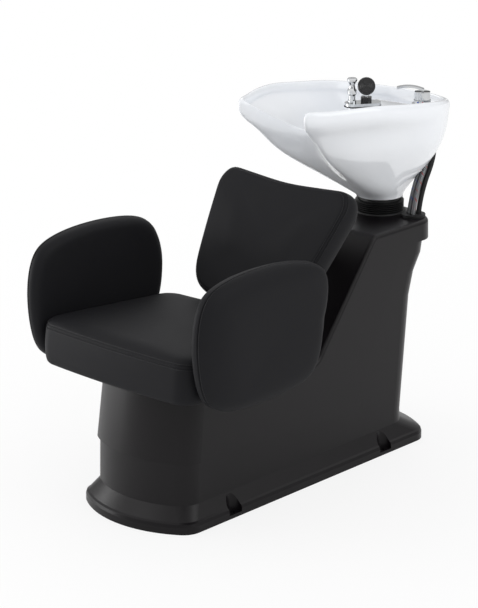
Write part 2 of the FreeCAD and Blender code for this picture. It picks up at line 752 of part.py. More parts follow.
back_face = back_thickness + run_gap
board_back = back_face + back_board_thickness
bracket_back = board_back + back_plate_thickness
back_screws_at = [back_at(side * back_screw_x, back_plate_low + back_plate_height / 2 + step * back_screw_s,
                          bracket_back) for side in (-1, 1) for step in (-1, 1)]
screw_places = [(point.x, point.y, point.z) for point in back_screws_at]
forward = rear_way * -1
back_board = Part.Face(back_ring(back_board_share, back_face)).extrude(rear_way * back_board_thickness)
back_board = bolt_holes(back_board, screw_places, forward, back_plate_thickness + back_screw_reach)
save(back_board, "back_board")

plate_corners = [back_at(side * back_plate_width / 2, back_plate_low + s, board_back)
                 for side, s in ((-1, 0), (1, 0), (1, back_plate_height), (-1, back_plate_height), (-1, 0))]
back_plate = Part.Face(Part.makePolygon(plate_corners)).extrude(rear_way * back_plate_thickness)
bar_middle = back_at(0, back_plate_low + back_plate_height / 2, bracket_back)
post_face = post_y - post_depth / 2
bars = []
for side in (-1, 1):
    start = (side * back_bar_x, bar_middle.y - overrun, bar_middle.z)
    bars.append(rod(back_bar_radius, start, (side * back_bar_x, post_face, bar_middle.z)))
front_block_corners = [back_at(side * back_plate_width, s, bracket_back - back_plate_thickness / 2)
                       for side, s in ((-1, 0), (1, 0), (1, back_height), (-1, back_height), (-1, 0))]
front_block = Part.Face(Part.makePolygon(front_block_corners)).extrude(rear_way * -back_thickness)
back_bracket = back_plate.multiFuse([bar.cut(front_block) for bar in bars])
back_bracket = bolt_holes(back_bracket, screw_places, forward, back_plate_thickness).removeSplitter()
save(back_bracket, "back_bracket")
save(bolts_along(screw_places, forward, back_plate_thickness + back_screw_reach), "back_screws")
for side in (-1, 1):
    bar_hole = rod(back_bar_radius + fit_gap, (side * back_bar_x, bar_middle.y, bar_middle.z),
                   (side * back_bar_x, post_face, bar_middle.z))
    column_shell = column_shell.cut(bar_hole)
save(column_shell.removeSplitter(), "column_shell")

# Bowl: one skin from the foot, up the hull, over the rolled rim, across the tap ledge to the drain.
half_count = len(rim_x_shares)


def rim_table():
    """Rim points from the rear round by the right horn, neck and left horn, each with its ledge share."""
    table = []
    for k in range(half_count):
        dip = neck_drop * rim_dip_shares[k]
        place = V(bowl_half_width * rim_x_shares[k], bowl_origin_y + bowl_length * rim_y_shares[k],
                  bowl_origin_z - rim_fall * rim_fall_shares[k] - dip)
        angle = math.pi * k / (half_count - 1)
        table.append((place, ledge_shares[k], angle, hull_lean_shares[k], basin_lean_shares[k]))
    mirrored = [(V(-place.x, place.y, place.z), 0.0, -angle, hull_lean, basin_lean)
                for place, ledge, angle, hull_lean, basin_lean in table[-2:0:-1]]
    return table + mirrored


rim = rim_table()


def circle_point(radius, angle, height):
    """A point on a circle about the bowl's upright axis, from the rear round by the right."""
    return V(radius * math.sin(angle), axis_y + radius * math.cos(angle), height)


def hull_ring(blend, fall):
    """A hull section between the rim and the foot circle."""
    points = []
    for place, ledge, angle, hull_lean, basin_lean in rim:
        foot = circle_point(bowl_foot_radius, angle, foot_height)
        near = blend ** hull_lean
        points.append(V(place.x + (foot.x - place.x) * near, place.y + (foot.y - place.y) * near,
                        place.z + (foot_height - place.z) * fall))
    return closed_curve(points)


def inward(place, distance, height):
    """A rim point moved level toward the middle of the bowl, at another height."""
    way = V(0, rim_aim_y, 0) - V(place.x, place.y, 0)
    way.normalize()
    return V(place.x + way.x * distance, place.y + way.y * distance, height)


def ledge_point(place, ledge, extra, drop):
    """A point on the inner edge of the tap ledge."""
    fall = ledge_drop + drop + (1 - ledge) * rim_roll
    return inward(place, rim_roll + extra + ledge * ledge_width, place.z - fall)


rings = [hull_ring(blend, fall) for blend, fall in zip(hull_blend_shares, hull_height_shares)]
for step, rise in zip(roll_step_shares, roll_rise_shares):
    rings.append(closed_curve([inward(place, rim_roll * step, place.z - rim_roll_drop * rise)
                               for place, *rest in rim]))
ledge_edge = [ledge_point(place, ledge, ledge_round / 2, 0) for place, ledge, *rest in rim]
basin_edge = [ledge_point(place, ledge, ledge_round, ledge_round) for place, ledge, *rest in rim]
rings.append(closed_curve(ledge_edge))
for blend, fall in zip(basin_blend_shares, basin_height_shares):
    points = []
    for edge, (place, ledge, angle, hull_lean, basin_lean) in zip(basin_edge, rim):
        drain = circle_point(drain_radius, angle, drain_height)
        near = blend ** basin_lean
        points.append(V(edge.x + (drain.x - edge.x) * near, edge.y + (drain.y - edge.y) * near,
                        edge.z + (drain_height - edge.z) * fall))
    rings.append(closed_curve(points))
bowl = Part.makeLoft(rings, True, False)
tap_plate_height = bowl_origin_z - plate_seat_fall
mixer_seat_height = bowl_origin_z - mixer_seat_fall
plate_way = V(math.sin(math.radians(plate_turn)), math.cos(math.radians(plate_turn)), 0)
plate_middle = V(plate_x, plate_y, tap_plate_height)
breaker_place = plate_middle + plate_way * breaker_offset
guide_place = plate_middle + plate_way * guide_offset
mixer_place = V(mixer_x, mixer_y, mixer_seat_height)


def plate_block(margin, low, thickness):
    """A round-ended plate along the ledge."""
    half = plate_length / 2 - plate_width / 2
    radius = plate_width / 2 + margin
    block = rounded_box(2 * radius, 2 * half, thickness, 0, 0, 0)
    for sign in (-1, 1):
        block = block.fuse(Part.makeCylinder(radius, thickness, V(0, sign * half, 0)))
    block = block.removeSplitter()
    block.rotate(V(0, 0, 0), V(0, 0, 1), -plate_turn)
    return block.translated(V(plate_x, plate_y, low))


cuts = [Part.makeCylinder(drain_hole_radius, 2 * overrun, V(0, axis_y, foot_height - overrun / 2)),
        Part.makeCylinder(foot_bore_radius, foot_bore_depth + overrun, V(0, axis_y, foot_height - overrun)),
        Part.makeCylinder(strainer_seat_radius, overrun, V(0, axis_y, drain_height - drain_seat_depth)),
        plate_block(fit_gap + wall, tap_plate_height, overrun),
        Part.makeCylinder(mixer_flange_radius + wall, overrun, mixer_place)]
for place in (breaker_place, guide_place):
    cuts.append(Part.makeCylinder(tap_hole_radius, tap_hole_depth, place - V(0, 0, tap_hole_depth)))
cuts.append(Part.makeCylinder(mixer_hole_radius, tap_hole_depth, mixer_place - V(0, 0, tap_hole_depth)))
for cut in cuts:
    bowl = bowl.cut(cut)
save(bowl, "bowl")

# Tilt head under the bowl: plate, two ears and a rubber seal; the drain passes through it.
head_top = foot_height - head_seal_thickness
head_low = head_top - head_plate_thickness
centre = V(0, axis_y, 0)
seal = Part.makeCylinder(bowl_foot_radius, head_seal_thickness, V(0, axis_y, head_top))
seal = seal.cut(Part.makeCylinder(foot_bore_radius, overrun, V(0, axis_y, head_top - overrun / 2)))
save(seal, "bowl_seal")
head = Part.makeCylinder(head_plate_radius, head_plate_thickness, V(0, axis_y, head_low))
for side in (-1, 1):
    ear = rounded_box(ear_thickness, 2 * ear_radius, head_low - axis_z, side * ear_x, axis_y, axis_z)
    ear = ear.fuse(rod(ear_radius, (side * (ear_x - ear_thickness / 2), axis_y, axis_z),
                       (side * (ear_x + ear_thickness / 2), axis_y, axis_z)))
    head = head.fuse(ear)
head = head.cut(rod(trunnion_radius + run_gap, (-overrun * 2, axis_y, axis_z), (overrun * 2, axis_y, axis_z)))
head = head.cut(Part.makeCylinder(tail_radius + fit_gap, overrun * 2, V(0, axis_y, axis_z)))
save(head.removeSplitter(), "tilt_head")

# Drain: a chrome flange in the bowl with its tail pipe, and a lift-out strainer.
tail_low = drain_height - drain_seat_depth - tail_length
drain_top = drain_height - drain_seat_depth
drain = Part.makeCylinder(strainer_seat_radius - fit_gap, drain_flange_thickness, V(0, axis_y, drain_top))
drain = drain.fuse(Part.makeCylinder(tail_radius, tail_length, V(0, axis_y, tail_low)))
drain = drain.cut(Part.makeCylinder(tail_radius - tail_wall, tail_length + overrun,
                                    V(0, axis_y, tail_low - overrun / 2)))
save(drain.removeSplitter(), "drain_flange")
strainer_low = drain_top + drain_flange_thickness + fit_gap
strainer = Part.makeCylinder(strainer_radius, strainer_thickness, V(0, axis_y, strainer_low))
strainer = strainer.fuse(Part.makeCylinder(strainer_knob_radius, strainer_knob_height,
                                           V(0, axis_y, strainer_low + strainer_thickness)))
for ring_share, count in zip(strainer_ring_shares, strainer_ring_counts):
    for k in range(count):
        angle = 2 * math.pi * k / count
        spot = V(strainer_radius * ring_share * math.cos(angle),
                 axis_y + strainer_radius * ring_share * math.sin(angle), strainer_low - overrun / 2)
        strainer = strainer.cut(Part.makeCylinder(strainer_hole_radius, overrun, spot))
save(strainer.removeSplitter(), "strainer")

# Gaiter: a ribbed rubber sleeve from the deck to the tilt head.
pitch = (head_low - deck_height - gaiter_seat_height - 2 * fit_gap) / gaiter_ribs
floor_z = deck_height + fit_gap
outline = [(gaiter_low_radius, floor_z), (gaiter_low_radius, floor_z + gaiter_seat_height)]
for k in range(gaiter_ribs):
    low = floor_z + gaiter_seat_height + k * pitch
    rib_radii = (gaiter_root_radius, gaiter_rib_radius, gaiter_rib_radius, gaiter_root_radius)
    outline += [(radius, low + pitch * rise) for radius, rise in zip(rib_radii, rib_rise_shares)]
inside = [(radius - gaiter_wall, height) for radius, height in reversed(outline)]
corners = [V(radius, axis_y, height) for radius, height in outline + inside]
gaiter = Part.Face(Part.makePolygon(corners + corners[:1])).revolve(centre, V(0, 0, 1), 360)
save(gaiter, "gaiter")

# Taps on the ledge.
gasket = plate_block(-plate_gasket_inset, tap_plate_height, plate_gasket_thickness)
plate = plate_block(-plate_gasket_inset * 2, tap_plate_height + plate_gasket_thickness, plate_thickness)
plate_top = tap_plate_height + plate_gasket_thickness + plate_thickness
for place in (breaker_place, guide_place):
    stem = Part.makeCylinder(tap_hole_radius - fit_gap, overrun * 2, place - V(0, 0, overrun))
    gasket = gasket.cut(stem)
    plate = plate.cut(stem)
save(gasket, "tap_gasket")
save(plate, "tap_plate")

on_plate = V(0, 0, plate_top - tap_plate_height)
shank_way = V(0, 0, -1)
shank_radius = tap_hole_radius - fit_gap * 2
shank_length = plate_top - tap_plate_height + tap_shank_reach
breaker = turned(breaker_profile).translated(breaker_place + on_plate)
breaker = breaker.fuse(Part.makeCylinder(shank_radius, shank_length, breaker_place + on_plate, shank_way))
save(breaker.removeSplitter(), "vacuum_breaker")
save(turned(breaker_cap_profile).translated(breaker_place + on_plate), "vacuum_breaker_cap")

guide = Part.makeCylinder(guide_radius, guide_height, guide_place + on_plate)
guide = guide.fuse(Part.makeCylinder(shank_radius, shank_length, guide_place + on_plate, shank_way))
guide = guide.cut(Part.makeCylinder(neck_radius + run_gap, guide_height + 2 * overrun + shank_length,
                                    guide_place + on_plate - V(0, 0, overrun + shank_length)))
save(guide.removeSplitter(), "hose_guide")

# Spray: neck standing in the guide and a round head leaning over the bowl.
neck = Part.makeCylinder(neck_radius, spray_rise + guide_height, guide_place + on_plate)
head_middle = guide_place + on_plate + V(0, 0, spray_rise + guide_height)
spray_head = turned(spray_profile)
spray_head.rotate(V(0, 0, 0), V(1, 0, 0), spray_lean)
spray_head.rotate(V(0, 0, 0), V(0, 0, 1), spray_heading)
spray_head = spray_head.translated(head_middle)
save(neck.cut(spray_head).removeSplitter(), "spray_neck")
save(spray_head, "spray_head")

# Mixer: body on the ledge, a turning cap and a lift lever.
mixer = Part.makeCylinder(mixer_flange_radius, mixer_flange_height, mixer_place)
mixer = mixer.fuse(Part.makeCylinder(mixer_radius, mixer_height, mixer_place))
mixer = mixer.fuse(Part.makeCylinder(mixer_hole_radius - fit_gap, mixer_shank_reach, mixer_place, shank_way))
cap_place = mixer_place + V(0, 0, mixer_height)
spigot_radius = cap_radius / 2
mixer = mixer.fuse(Part.makeCylinder(spigot_radius, cap_height / 2, cap_place))
save(mixer.removeSplitter(), "mixer_body")
cap = Part.makeCylinder(cap_radius, cap_height, cap_place + V(0, 0, fit_gap))
cap = cap.cut(Part.makeCylinder(spigot_radius + run_gap, cap_height / 2 + fit_gap, cap_place))
slot_low = cap_place.z + cap_height / 2 + 2 * fit_gap
lever_axis_height = slot_low + (cap_place.z + fit_gap + cap_height - slot_low) / 2
slot = rounded_box(lever_boss_width + 2 * fit_gap, 2 * overrun, overrun, 0, 0, slot_low)
pin_reach = cap_radius - wall
pin = rod(lever_pin_radius, (-pin_reach, 0, lever_axis_height), (pin_reach, 0, lever_axis_height))


def mixer_turned(shape):
    """Put a piece drawn along +Y about the mixer's axis onto its heading."""
    moved = shape.copy()
    moved.rotate(V(0, 0, 0), V(0, 0, 1), lever_heading)
    return moved.translated(V(mixer_x, mixer_y, 0))


cap = cap.cut(mixer_turned(slot)).cut(mixer_turned(pin))
save(cap.removeSplitter(), "mixer_cap")
save(mixer_turned(pin), "lever_pin")
lever_low = cap_place.z + cap_height + fit_gap + lever_clearance
boss = rod(lever_boss_radius, (-lever_boss_width / 2, 0, lever_axis_height),
           (lever_boss_width / 2, 0, lever_axis_height))
boss_rise = lever_low + lever_thickness - lever_axis_height
boss = boss.fuse(rounded_box(lever_boss_width, lever_boss_radius, boss_rise, 0, 0, lever_axis_height))
boss = boss.cut(rod(lever_pin_radius + run_gap, (-overrun, 0, lever_axis_height),
                    (overrun, 0, lever_axis_height)))
blade_start = V(0, -lever_boss_radius, lever_low)
blade_middle = V(0, lever_length / 3, lever_low + lever_rise)
blade_end = V(0, lever_length, lever_low + lever_rise / 2)
lift = V(0, 0, lever_thickness)
blade_edges = [Part.Arc(blade_start, blade_middle, blade_end).toShape(),
               Part.makeLine(blade_end, blade_end + lift),
               Part.Arc(blade_end + lift, blade_middle + lift, blade_start + lift).toShape(),
               Part.makeLine(blade_start + lift, blade_start)]
blade = across(Part.Wire(blade_edges), lever_width / 2)
riser = rounded_box(lever_boss_width, lever_boss_radius, lever_rise, 0, 0, lever_low)
save(mixer_turned(blade.fuse(boss).fuse(riser).removeSplitter()), "mixer_lever")

# Supply hoses: up through the deck grommet and into the rear of the bowl.
grommet = Part.makeCylinder(grommet_radius, grommet_height, V(grommet_x, grommet_y, deck_height))
grommet = grommet.fuse(Part.makeCylinder(grommet_hole_radius - fit_gap, grommet_height + wall,
                                         V(grommet_x, grommet_y, deck_height - wall - grommet_height)))
hoses = (("cold_hose", cold_hose_shares, hose_radius), ("hot_hose", hot_hose_shares, hose_radius),
         ("spray_hose", spray_hose_shares, spray_hose_radius))
for name, (share_x, share_y), radius in hoses:
    x = grommet_x + hose_spread * share_x
    y = grommet_y + hose_spread * share_y
    end_x = hose_exit_x + hose_spread * share_x
    end_y = hose_exit_y + hose_spread * share_y
    route = ((x, y, hose_foot), (x, y, deck_height + hose_upright), (end_x, end_y, hose_exit_z))
    outside = hose(route, radius, hose_bend).cut(bowl)
    save(min(outside.Solids, key=lambda solid: solid.CenterOfMass.z), name)
    print(name, "runs", round(tangent_path(route, hose_bend).Length), "bend radius", hose_bend)
    grommet = grommet.cut(Part.makeCylinder(radius + fit_gap, 2 * overrun, V(x, y, deck_height - overrun)))
save(grommet.removeSplitter(), "hose_grommet")
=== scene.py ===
import bpy
import math
import numpy as np
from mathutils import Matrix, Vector


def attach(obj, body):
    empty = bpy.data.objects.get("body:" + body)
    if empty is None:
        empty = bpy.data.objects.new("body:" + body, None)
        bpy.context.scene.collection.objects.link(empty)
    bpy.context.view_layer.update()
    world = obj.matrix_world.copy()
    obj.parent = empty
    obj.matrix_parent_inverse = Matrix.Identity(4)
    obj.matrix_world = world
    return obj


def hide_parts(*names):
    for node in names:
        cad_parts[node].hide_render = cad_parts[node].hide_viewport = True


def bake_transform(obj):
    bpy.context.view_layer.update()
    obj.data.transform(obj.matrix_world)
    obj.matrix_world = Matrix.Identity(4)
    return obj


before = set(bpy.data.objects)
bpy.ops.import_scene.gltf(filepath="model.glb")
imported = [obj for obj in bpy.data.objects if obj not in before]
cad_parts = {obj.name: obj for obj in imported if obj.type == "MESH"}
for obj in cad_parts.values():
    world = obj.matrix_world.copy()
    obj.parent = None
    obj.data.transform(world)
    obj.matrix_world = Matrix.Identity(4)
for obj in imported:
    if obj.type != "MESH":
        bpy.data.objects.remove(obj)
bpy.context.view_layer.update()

# Lengths are in millimetres in the frame of the solids, unless a comment says metres.
MM = 0.001
# The drawing is moved to the rear by this, so that the middle of its anchor pockets lies on the origin.
SHIFT_Y = 27.5
ACROSS, REARWARD, UP = np.eye(3)

# Camera: the viewing angle and the lens of the photograph, for an image of 478 by 608; places in metres.
IMAGE_HEIGHT = 608.0
FOCAL_PIXELS = 2400.0
SENSOR = 36.0
VIEW_AZIMUTH = 42.85
VIEW_ELEVATION = 17.95
VIEW_DISTANCE = 5.690
VIEW_TARGET = (0.0, -0.0725, 0.434)
VIEW_END = 100.0

# White room: its brightness on matt surfaces, and in mirror-like ones from low down up to overhead.
WHITE = "#ffffff"
ROOM_LEVEL = 0.84
MIRROR_RISE = (0.05, 0.7)
MIRROR_LEVEL = (0.35, 1.0)
MIRROR_FLOOR = 0.2

# Floor: its half width, then how it pales with the distance in metres, and the part hidden by the pedestal.
FLOOR_REACH = 14000.0
FLOOR_FADE = (0.5, 2.4)
FLOOR_GLOW = (0.82, 1.0)
PEDESTAL_HALF_WIDTH = 140.0
PEDESTAL_HALF_LENGTH = 400.0

# Soft boxes: place and width in metres, and power in watts. All of them face one point of the object.
LAMP_AIM = (0.0, 0.0, 0.5)
LAMPS = {
    "key_box": ((3.4, 0.9, 2.3), 2.4, 27.0),
    "front_box": ((-1.4, -3.6, 2.6), 2.6, 18.0),
    "rear_box": ((-2.6, 2.2, 3.0), 2.0, 12.0),
    "low_box": ((-2.6, -1.6, 0.5), 1.8, 46.0),
}

# Pads: a section lists inset and height, from the middle of the underside round the edge to the middle of the
# top. Its seams are places along that list. Stitch rows are measured along the section from each seam.
ROUND_STEPS = 240
SECTION_SAMPLES = 4000
SECTION_END = 1.0001  # stops just short of the last corner
COARSE_STEP = 6.0
FINE_STEP = 0.7
LEAST_STEP = FINE_STEP / 3
SEAM_REACH = 7.0  # how far the fine steps reach from a seam
SEAM_HOLD = 6.0  # how many seam widths away the cloth is still held
PAD_EDGE = 40.0  # inset at which the rolled edge is over
PAD_CLOSE = 0.985  # share of the way to the middle at which the last ring stops

# Upholstery cloth: how it is blown up, and how much of its movement is kept.
PUFF_STEPS = 12
PUFF_PRESSURE = 4.0
PUFF_STIFFNESS = 40.0
PUFF_BENDING = 5.0
PUFF_QUALITY = 3
PUFF_HELD = 0.6  # firmness above which a point is pinned
PUFF_WAVES = 9  # waves kept round each ring, with the even movement
PUFF_FADE = (2.5, 0.3)  # gain and loss on the size of a ring beside the largest
PUFF_LEAST = 1e-9  # least movement in metres, against a division by zero

# Stitching along the seams: one stitch is a spindle, with its places along and its thickness there as shares.
STITCH_PITCH = 5.0
STITCH_LENGTH = 3.6
STITCH_RADIUS = 0.55
STITCH_PLACES = (-0.5, -0.35, 0.0, 0.35, 0.5)
STITCH_SWELL = (0.1, 0.8, 1.0, 0.8, 0.1)
STITCH_SIDES = 6
STITCH_LIFT = 0.3  # share of its radius by which a stitch stands out
STITCH_REACH = 2  # rows to either side that give the slope of the surface

# Seat cushion.
SEAT_FRONT_Y = -541.0 + SHIFT_Y
SEAT_LOW = 346.0
SEAT_TILT = 4.5
SEAT_HALF_WIDTH = 238.0
SEAT_HALF_LENGTH = 226.0
SEAT_CORNER = 38.0
SEAT_CORNER_STEPS = 25
SEAT_BOW = 12.0
SEAT_BOARD_TOP = 12.4
SEAT_SECTION = ((222.0, SEAT_BOARD_TOP), (60.0, SEAT_BOARD_TOP), (20.0, SEAT_BOARD_TOP),
                (17.2, SEAT_BOARD_TOP - 0.4), (17.0, 6.0), (16.6, 0.6), (15.0, 0.2), (9.0, 0.2), (6.3, 0.8),
                (4.5, 4.0), (1.2, 20.0), (0.0, 45.0), (0.3, 70.0), (1.2, 86.0), (4.2, 97.0), (12.0, 105.5),
                (28.0, 110.5), (70.0, 114.0), (140.0, 116.5), (222.0, 117.5))
SEAT_SEWING = {"seams": (13.0, 13.6), "width": 1.1, "depth": 1.1, "rows": (-2.6, 2.6), "puff": 4.0,
               "underside": SEAT_BOARD_TOP + 1.0}

# Armrests.
ARM_INNER = 243.0
ARM_THICKNESS = 58.0
ARM_SWEEP = 30.0
ARM_SWEEP_DEPTH_SHARES = (0.0, 0.26, 0.52, 0.72, 0.86, 0.95, 1.0)
ARM_SWEEP_SHARES = (0.0, 0.0, 0.12, 0.35, 0.62, 0.85, 1.0)
ARM_REAR = 190.0
ARM_SHOULDER = 115.0
ARM_TRIM = 38.0
ARM_TRIM_DEPTH_SHARE = 0.75
ARM_CENTRE = (-312.0 + SHIFT_Y, 474.0)
ARM_OUTLINE = ((-217.0, 18.0), (-202.0, 100.0), (-162.0, 138.0), (-86.0, 154.0), (12.0, 156.0),
               (112.0, 145.0), (181.0, 115.0), (212.0, 58.0), (218.0, -4.0), (204.0, -74.0),
               (170.0, -124.0), (118.0, -147.0), (18.0, -158.0), (-90.0, -157.0), (-160.0, -138.0),
               (-202.0, -86.0))
ARM_SECTION = ((154.0, 0.3), (60.0, 0.3), (24.0, 0.3), (12.0, 2.5), (5.0, 8.0), (1.6, 15.0), (0.2, 24.0),
               (0.0, 30.5), (3.5, 41.0), (12.0, 50.0), (25.0, 55.0), (50.0, 57.4), (100.0, 58.2),
               (154.0, 58.5))
ARM_SEWING = {"seams": (6.7,), "width": 1.4, "depth": 2.4, "rows": (3.0,), "puff": 3.0, "underside": 0.5}

# Back rest.
BACK_LEAN = 35.0
BACK_FOOT = (-125.0 + SHIFT_Y, 448.0)
BACK_HEIGHT = 327.0
BACK_HALF_TOP = 205.0
BACK_THICKNESS = 78.0
BACK_X_SHARES = (0.0, 0.38, 0.63, 0.79, 0.87, 0.94, 0.99, 1.0, 0.91, 0.72, 0.40)
BACK_S_SHARES = (0.0, 0.008, 0.05, 0.16, 0.34, 0.58, 0.78, 0.90, 0.99, 1.0, 0.985, 0.973)
BACK_SECTION = ((150.0, 0.3), (60.0, 0.3), (24.0, 0.3), (12.0, 4.0), (4.0, 16.0), (0.0, 36.0), (1.0, 56.0),
                (5.0, 67.0), (14.0, 74.0), (34.0, 77.0), (80.0, 79.0), (150.0, 80.0))
BACK_SEWING = {"seams": (6.6, 7.2), "width": 1.3, "depth": 1.5, "rows": (-2.4, 2.4), "puff": 4.0,
               "underside": 0.5}

# Finishes: how many finer clouds lie in a soft cloud pattern.
CLOUD_DETAIL = 3.0

# Gaiter: a ribbed sleeve between the deck and the bowl. Its foot spreads over a share of the height.
AXIS_Y = 417.0 + SHIFT_Y
GAITER_LOW = 560.5
GAITER_TOP = 590.5
GAITER_FOOT_RADIUS = 66.0
GAITER_FOOT_SHARE = 0.16
GAITER_RADIUS = 58.2
GAITER_SWING = 2.8
GAITER_WALL = 2.0
GAITER_RIBS = 6
GAITER_START = 0.75
GAITER_LEVELS = 181
GAITER_STEPS = 96

# Hoses: they rise from the deck, lean to the rear and turn into the bowl.
HOSE_FOOT = (100.0, 428.0 + SHIFT_Y, 522.0)
HOSE_KNEE_HEIGHT = 600.0
HOSE_EXIT = (88.0, 516.0 + SHIFT_Y, 716.0)
HOSE_TURN_IN = (0.0, -24.0, 26.0)
HOSE_SPREAD = 12.0
HOSE_SHARES = {"cold_hose": (-1.0, -0.35), "hot_hose": (0.35, -0.75), "spray_hose": (0.55, 0.75)}
HOSE_RADII = {"cold_hose": 5.6, "hot_hose": 5.6, "spray_hose": 6.4}
HOSE_STEPS = 24
HOSE_SIDES = 24

# Steel braid on two hoses: wires each way round, the rise of one mesh, and a coloured tracer on a long helix.
COLD_BLUE = "#2b4fae"
HOT_RED = "#b0302c"
BRAID_WIRES = 6.0
BRAID_RISE = 5.0
BRAID_DEPTH = 0.5
BRAID_PEAK = 0.5
TRACER_RISE = 22.0
TRACER_SHARE = 0.12
TRACER_BEAD = 0.3

# Spray head: its rose is a low dome with ripples, and its hose lies in the guide.
SPRAY_FACE = (110.9, 225.0 + SHIFT_Y, 921.5)
SPRAY_AXIS = (0.596, -0.710, 0.375)
SPRAY_FACE_RISE = 24.6
SPRAY_FACE_RADIUS = 16.5
ROSE_DOME = 0.9
ROSE_DOME_POWER = 8
ROSE_RIPPLE = 0.35
ROSE_RINGS = 4.5
ROSE_EDGE = 12  # steepness at which the ripples die out at the edge
ROSE_CENTRE = 0.05  # radius of the flat spot that closes the middle
ROSE_STEPS = 120
DRAWN_HOSE_LOW = 865.0
DRAWN_HOSE_TOP = 886.0
DRAWN_HOSE_RADIUS = 4.6
DRAWN_HOSE_LEVELS = 25
DRAWN_HOSE_SIDES = 32

# Temperature marks on the mixer body.
MIXER_CENTRE = (148.0, 392.0 + SHIFT_Y, 866.0)
MIXER_RADIUS = 21.0
MARK_RADIUS = 2.2
MARK_HEIGHT = 0.9
MARK_PROUD = 0.05
MARK_CENTRE = 0.02
MARK_STEPS = 8
MARK_TURN = 16.0
MARK_HEADING = -65.0
TURNED_SIDES = 64


def linear(colour):
    """An sRGB hex colour as linear red, green, blue and alpha."""
    parts = np.array([int(colour[k:k + 2], 16) for k in (1, 3, 5)]) / 255
    low, high = parts / 12.92, ((parts + 0.055) / 1.055) ** 2.4
    return (*np.where(parts <= 0.04045, low, high).tolist(), 1.0)


def add(tree, kind, inputs=None, **settings):
    """Adds one node with its options, and sets or links its inputs; a node stands for its first output."""
    made = tree.nodes.new(kind)
    for key, value in settings.items():
        setattr(made, key, value)
    for key, value in (inputs or {}).items():
        if isinstance(value, bpy.types.Node):
            value = value.outputs[0]
        if isinstance(value, bpy.types.NodeSocket):
            tree.links.new(value, made.inputs[key])
        else:
            made.inputs[key].default_value = value
    return made


def surface(name, colour, roughness, metallic=0.0, specular=0.5):
    """A new material with a plain shader: its material, its tree and its shader."""
    made = bpy.data.materials.new(name)
    made.use_nodes = True
    shader = made.node_tree.nodes["Principled BSDF"]
    shader.inputs["Base Color"].default_value = linear(colour)
    shader.inputs["Roughness"].default_value = roughness
    shader.inputs["Metallic"].default_value = metallic
    shader.inputs["Specular IOR Level"].default_value = specular
    return made, made.node_tree, shader


def mottle(tree, shader, size, colours, roughnesses):
    """A soft cloud pattern of one real size that varies the colour and the roughness; returns its place."""
    place = add(tree, "ShaderNodeTexCoord").outputs["Object"]
    cloud = add(tree, "ShaderNodeTexNoise", {"Vector": place, "Scale": 1 / (size * MM),
                                             "Detail": CLOUD_DETAIL})
    tint = add(tree, "ShaderNodeMixRGB", {"Fac": cloud, "Color1": linear(colours[0]),
                                          "Color2": linear(colours[1])})
    tree.links.new(tint.outputs["Color"], shader.inputs["Base Color"])
    spread = add(tree, "ShaderNodeMapRange", {"Value": cloud, "To Min": roughnesses[0],
                                              "To Max": roughnesses[1]})
    tree.links.new(spread.outputs["Result"], shader.inputs["Roughness"])
    return place


def grain(tree, shader, place, size, depth, kind="ShaderNodeTexNoise"):
    """A bump pattern of one real grain size and depth."""
    pattern = add(tree, kind, {"Vector": place, "Scale": 1 / (size * MM)})
    bump = add(tree, "ShaderNodeBump", {"Height": pattern, "Strength": 1.0, "Distance": depth * MM})
    tree.links.new(bump.outputs["Normal"], shader.inputs["Normal"])


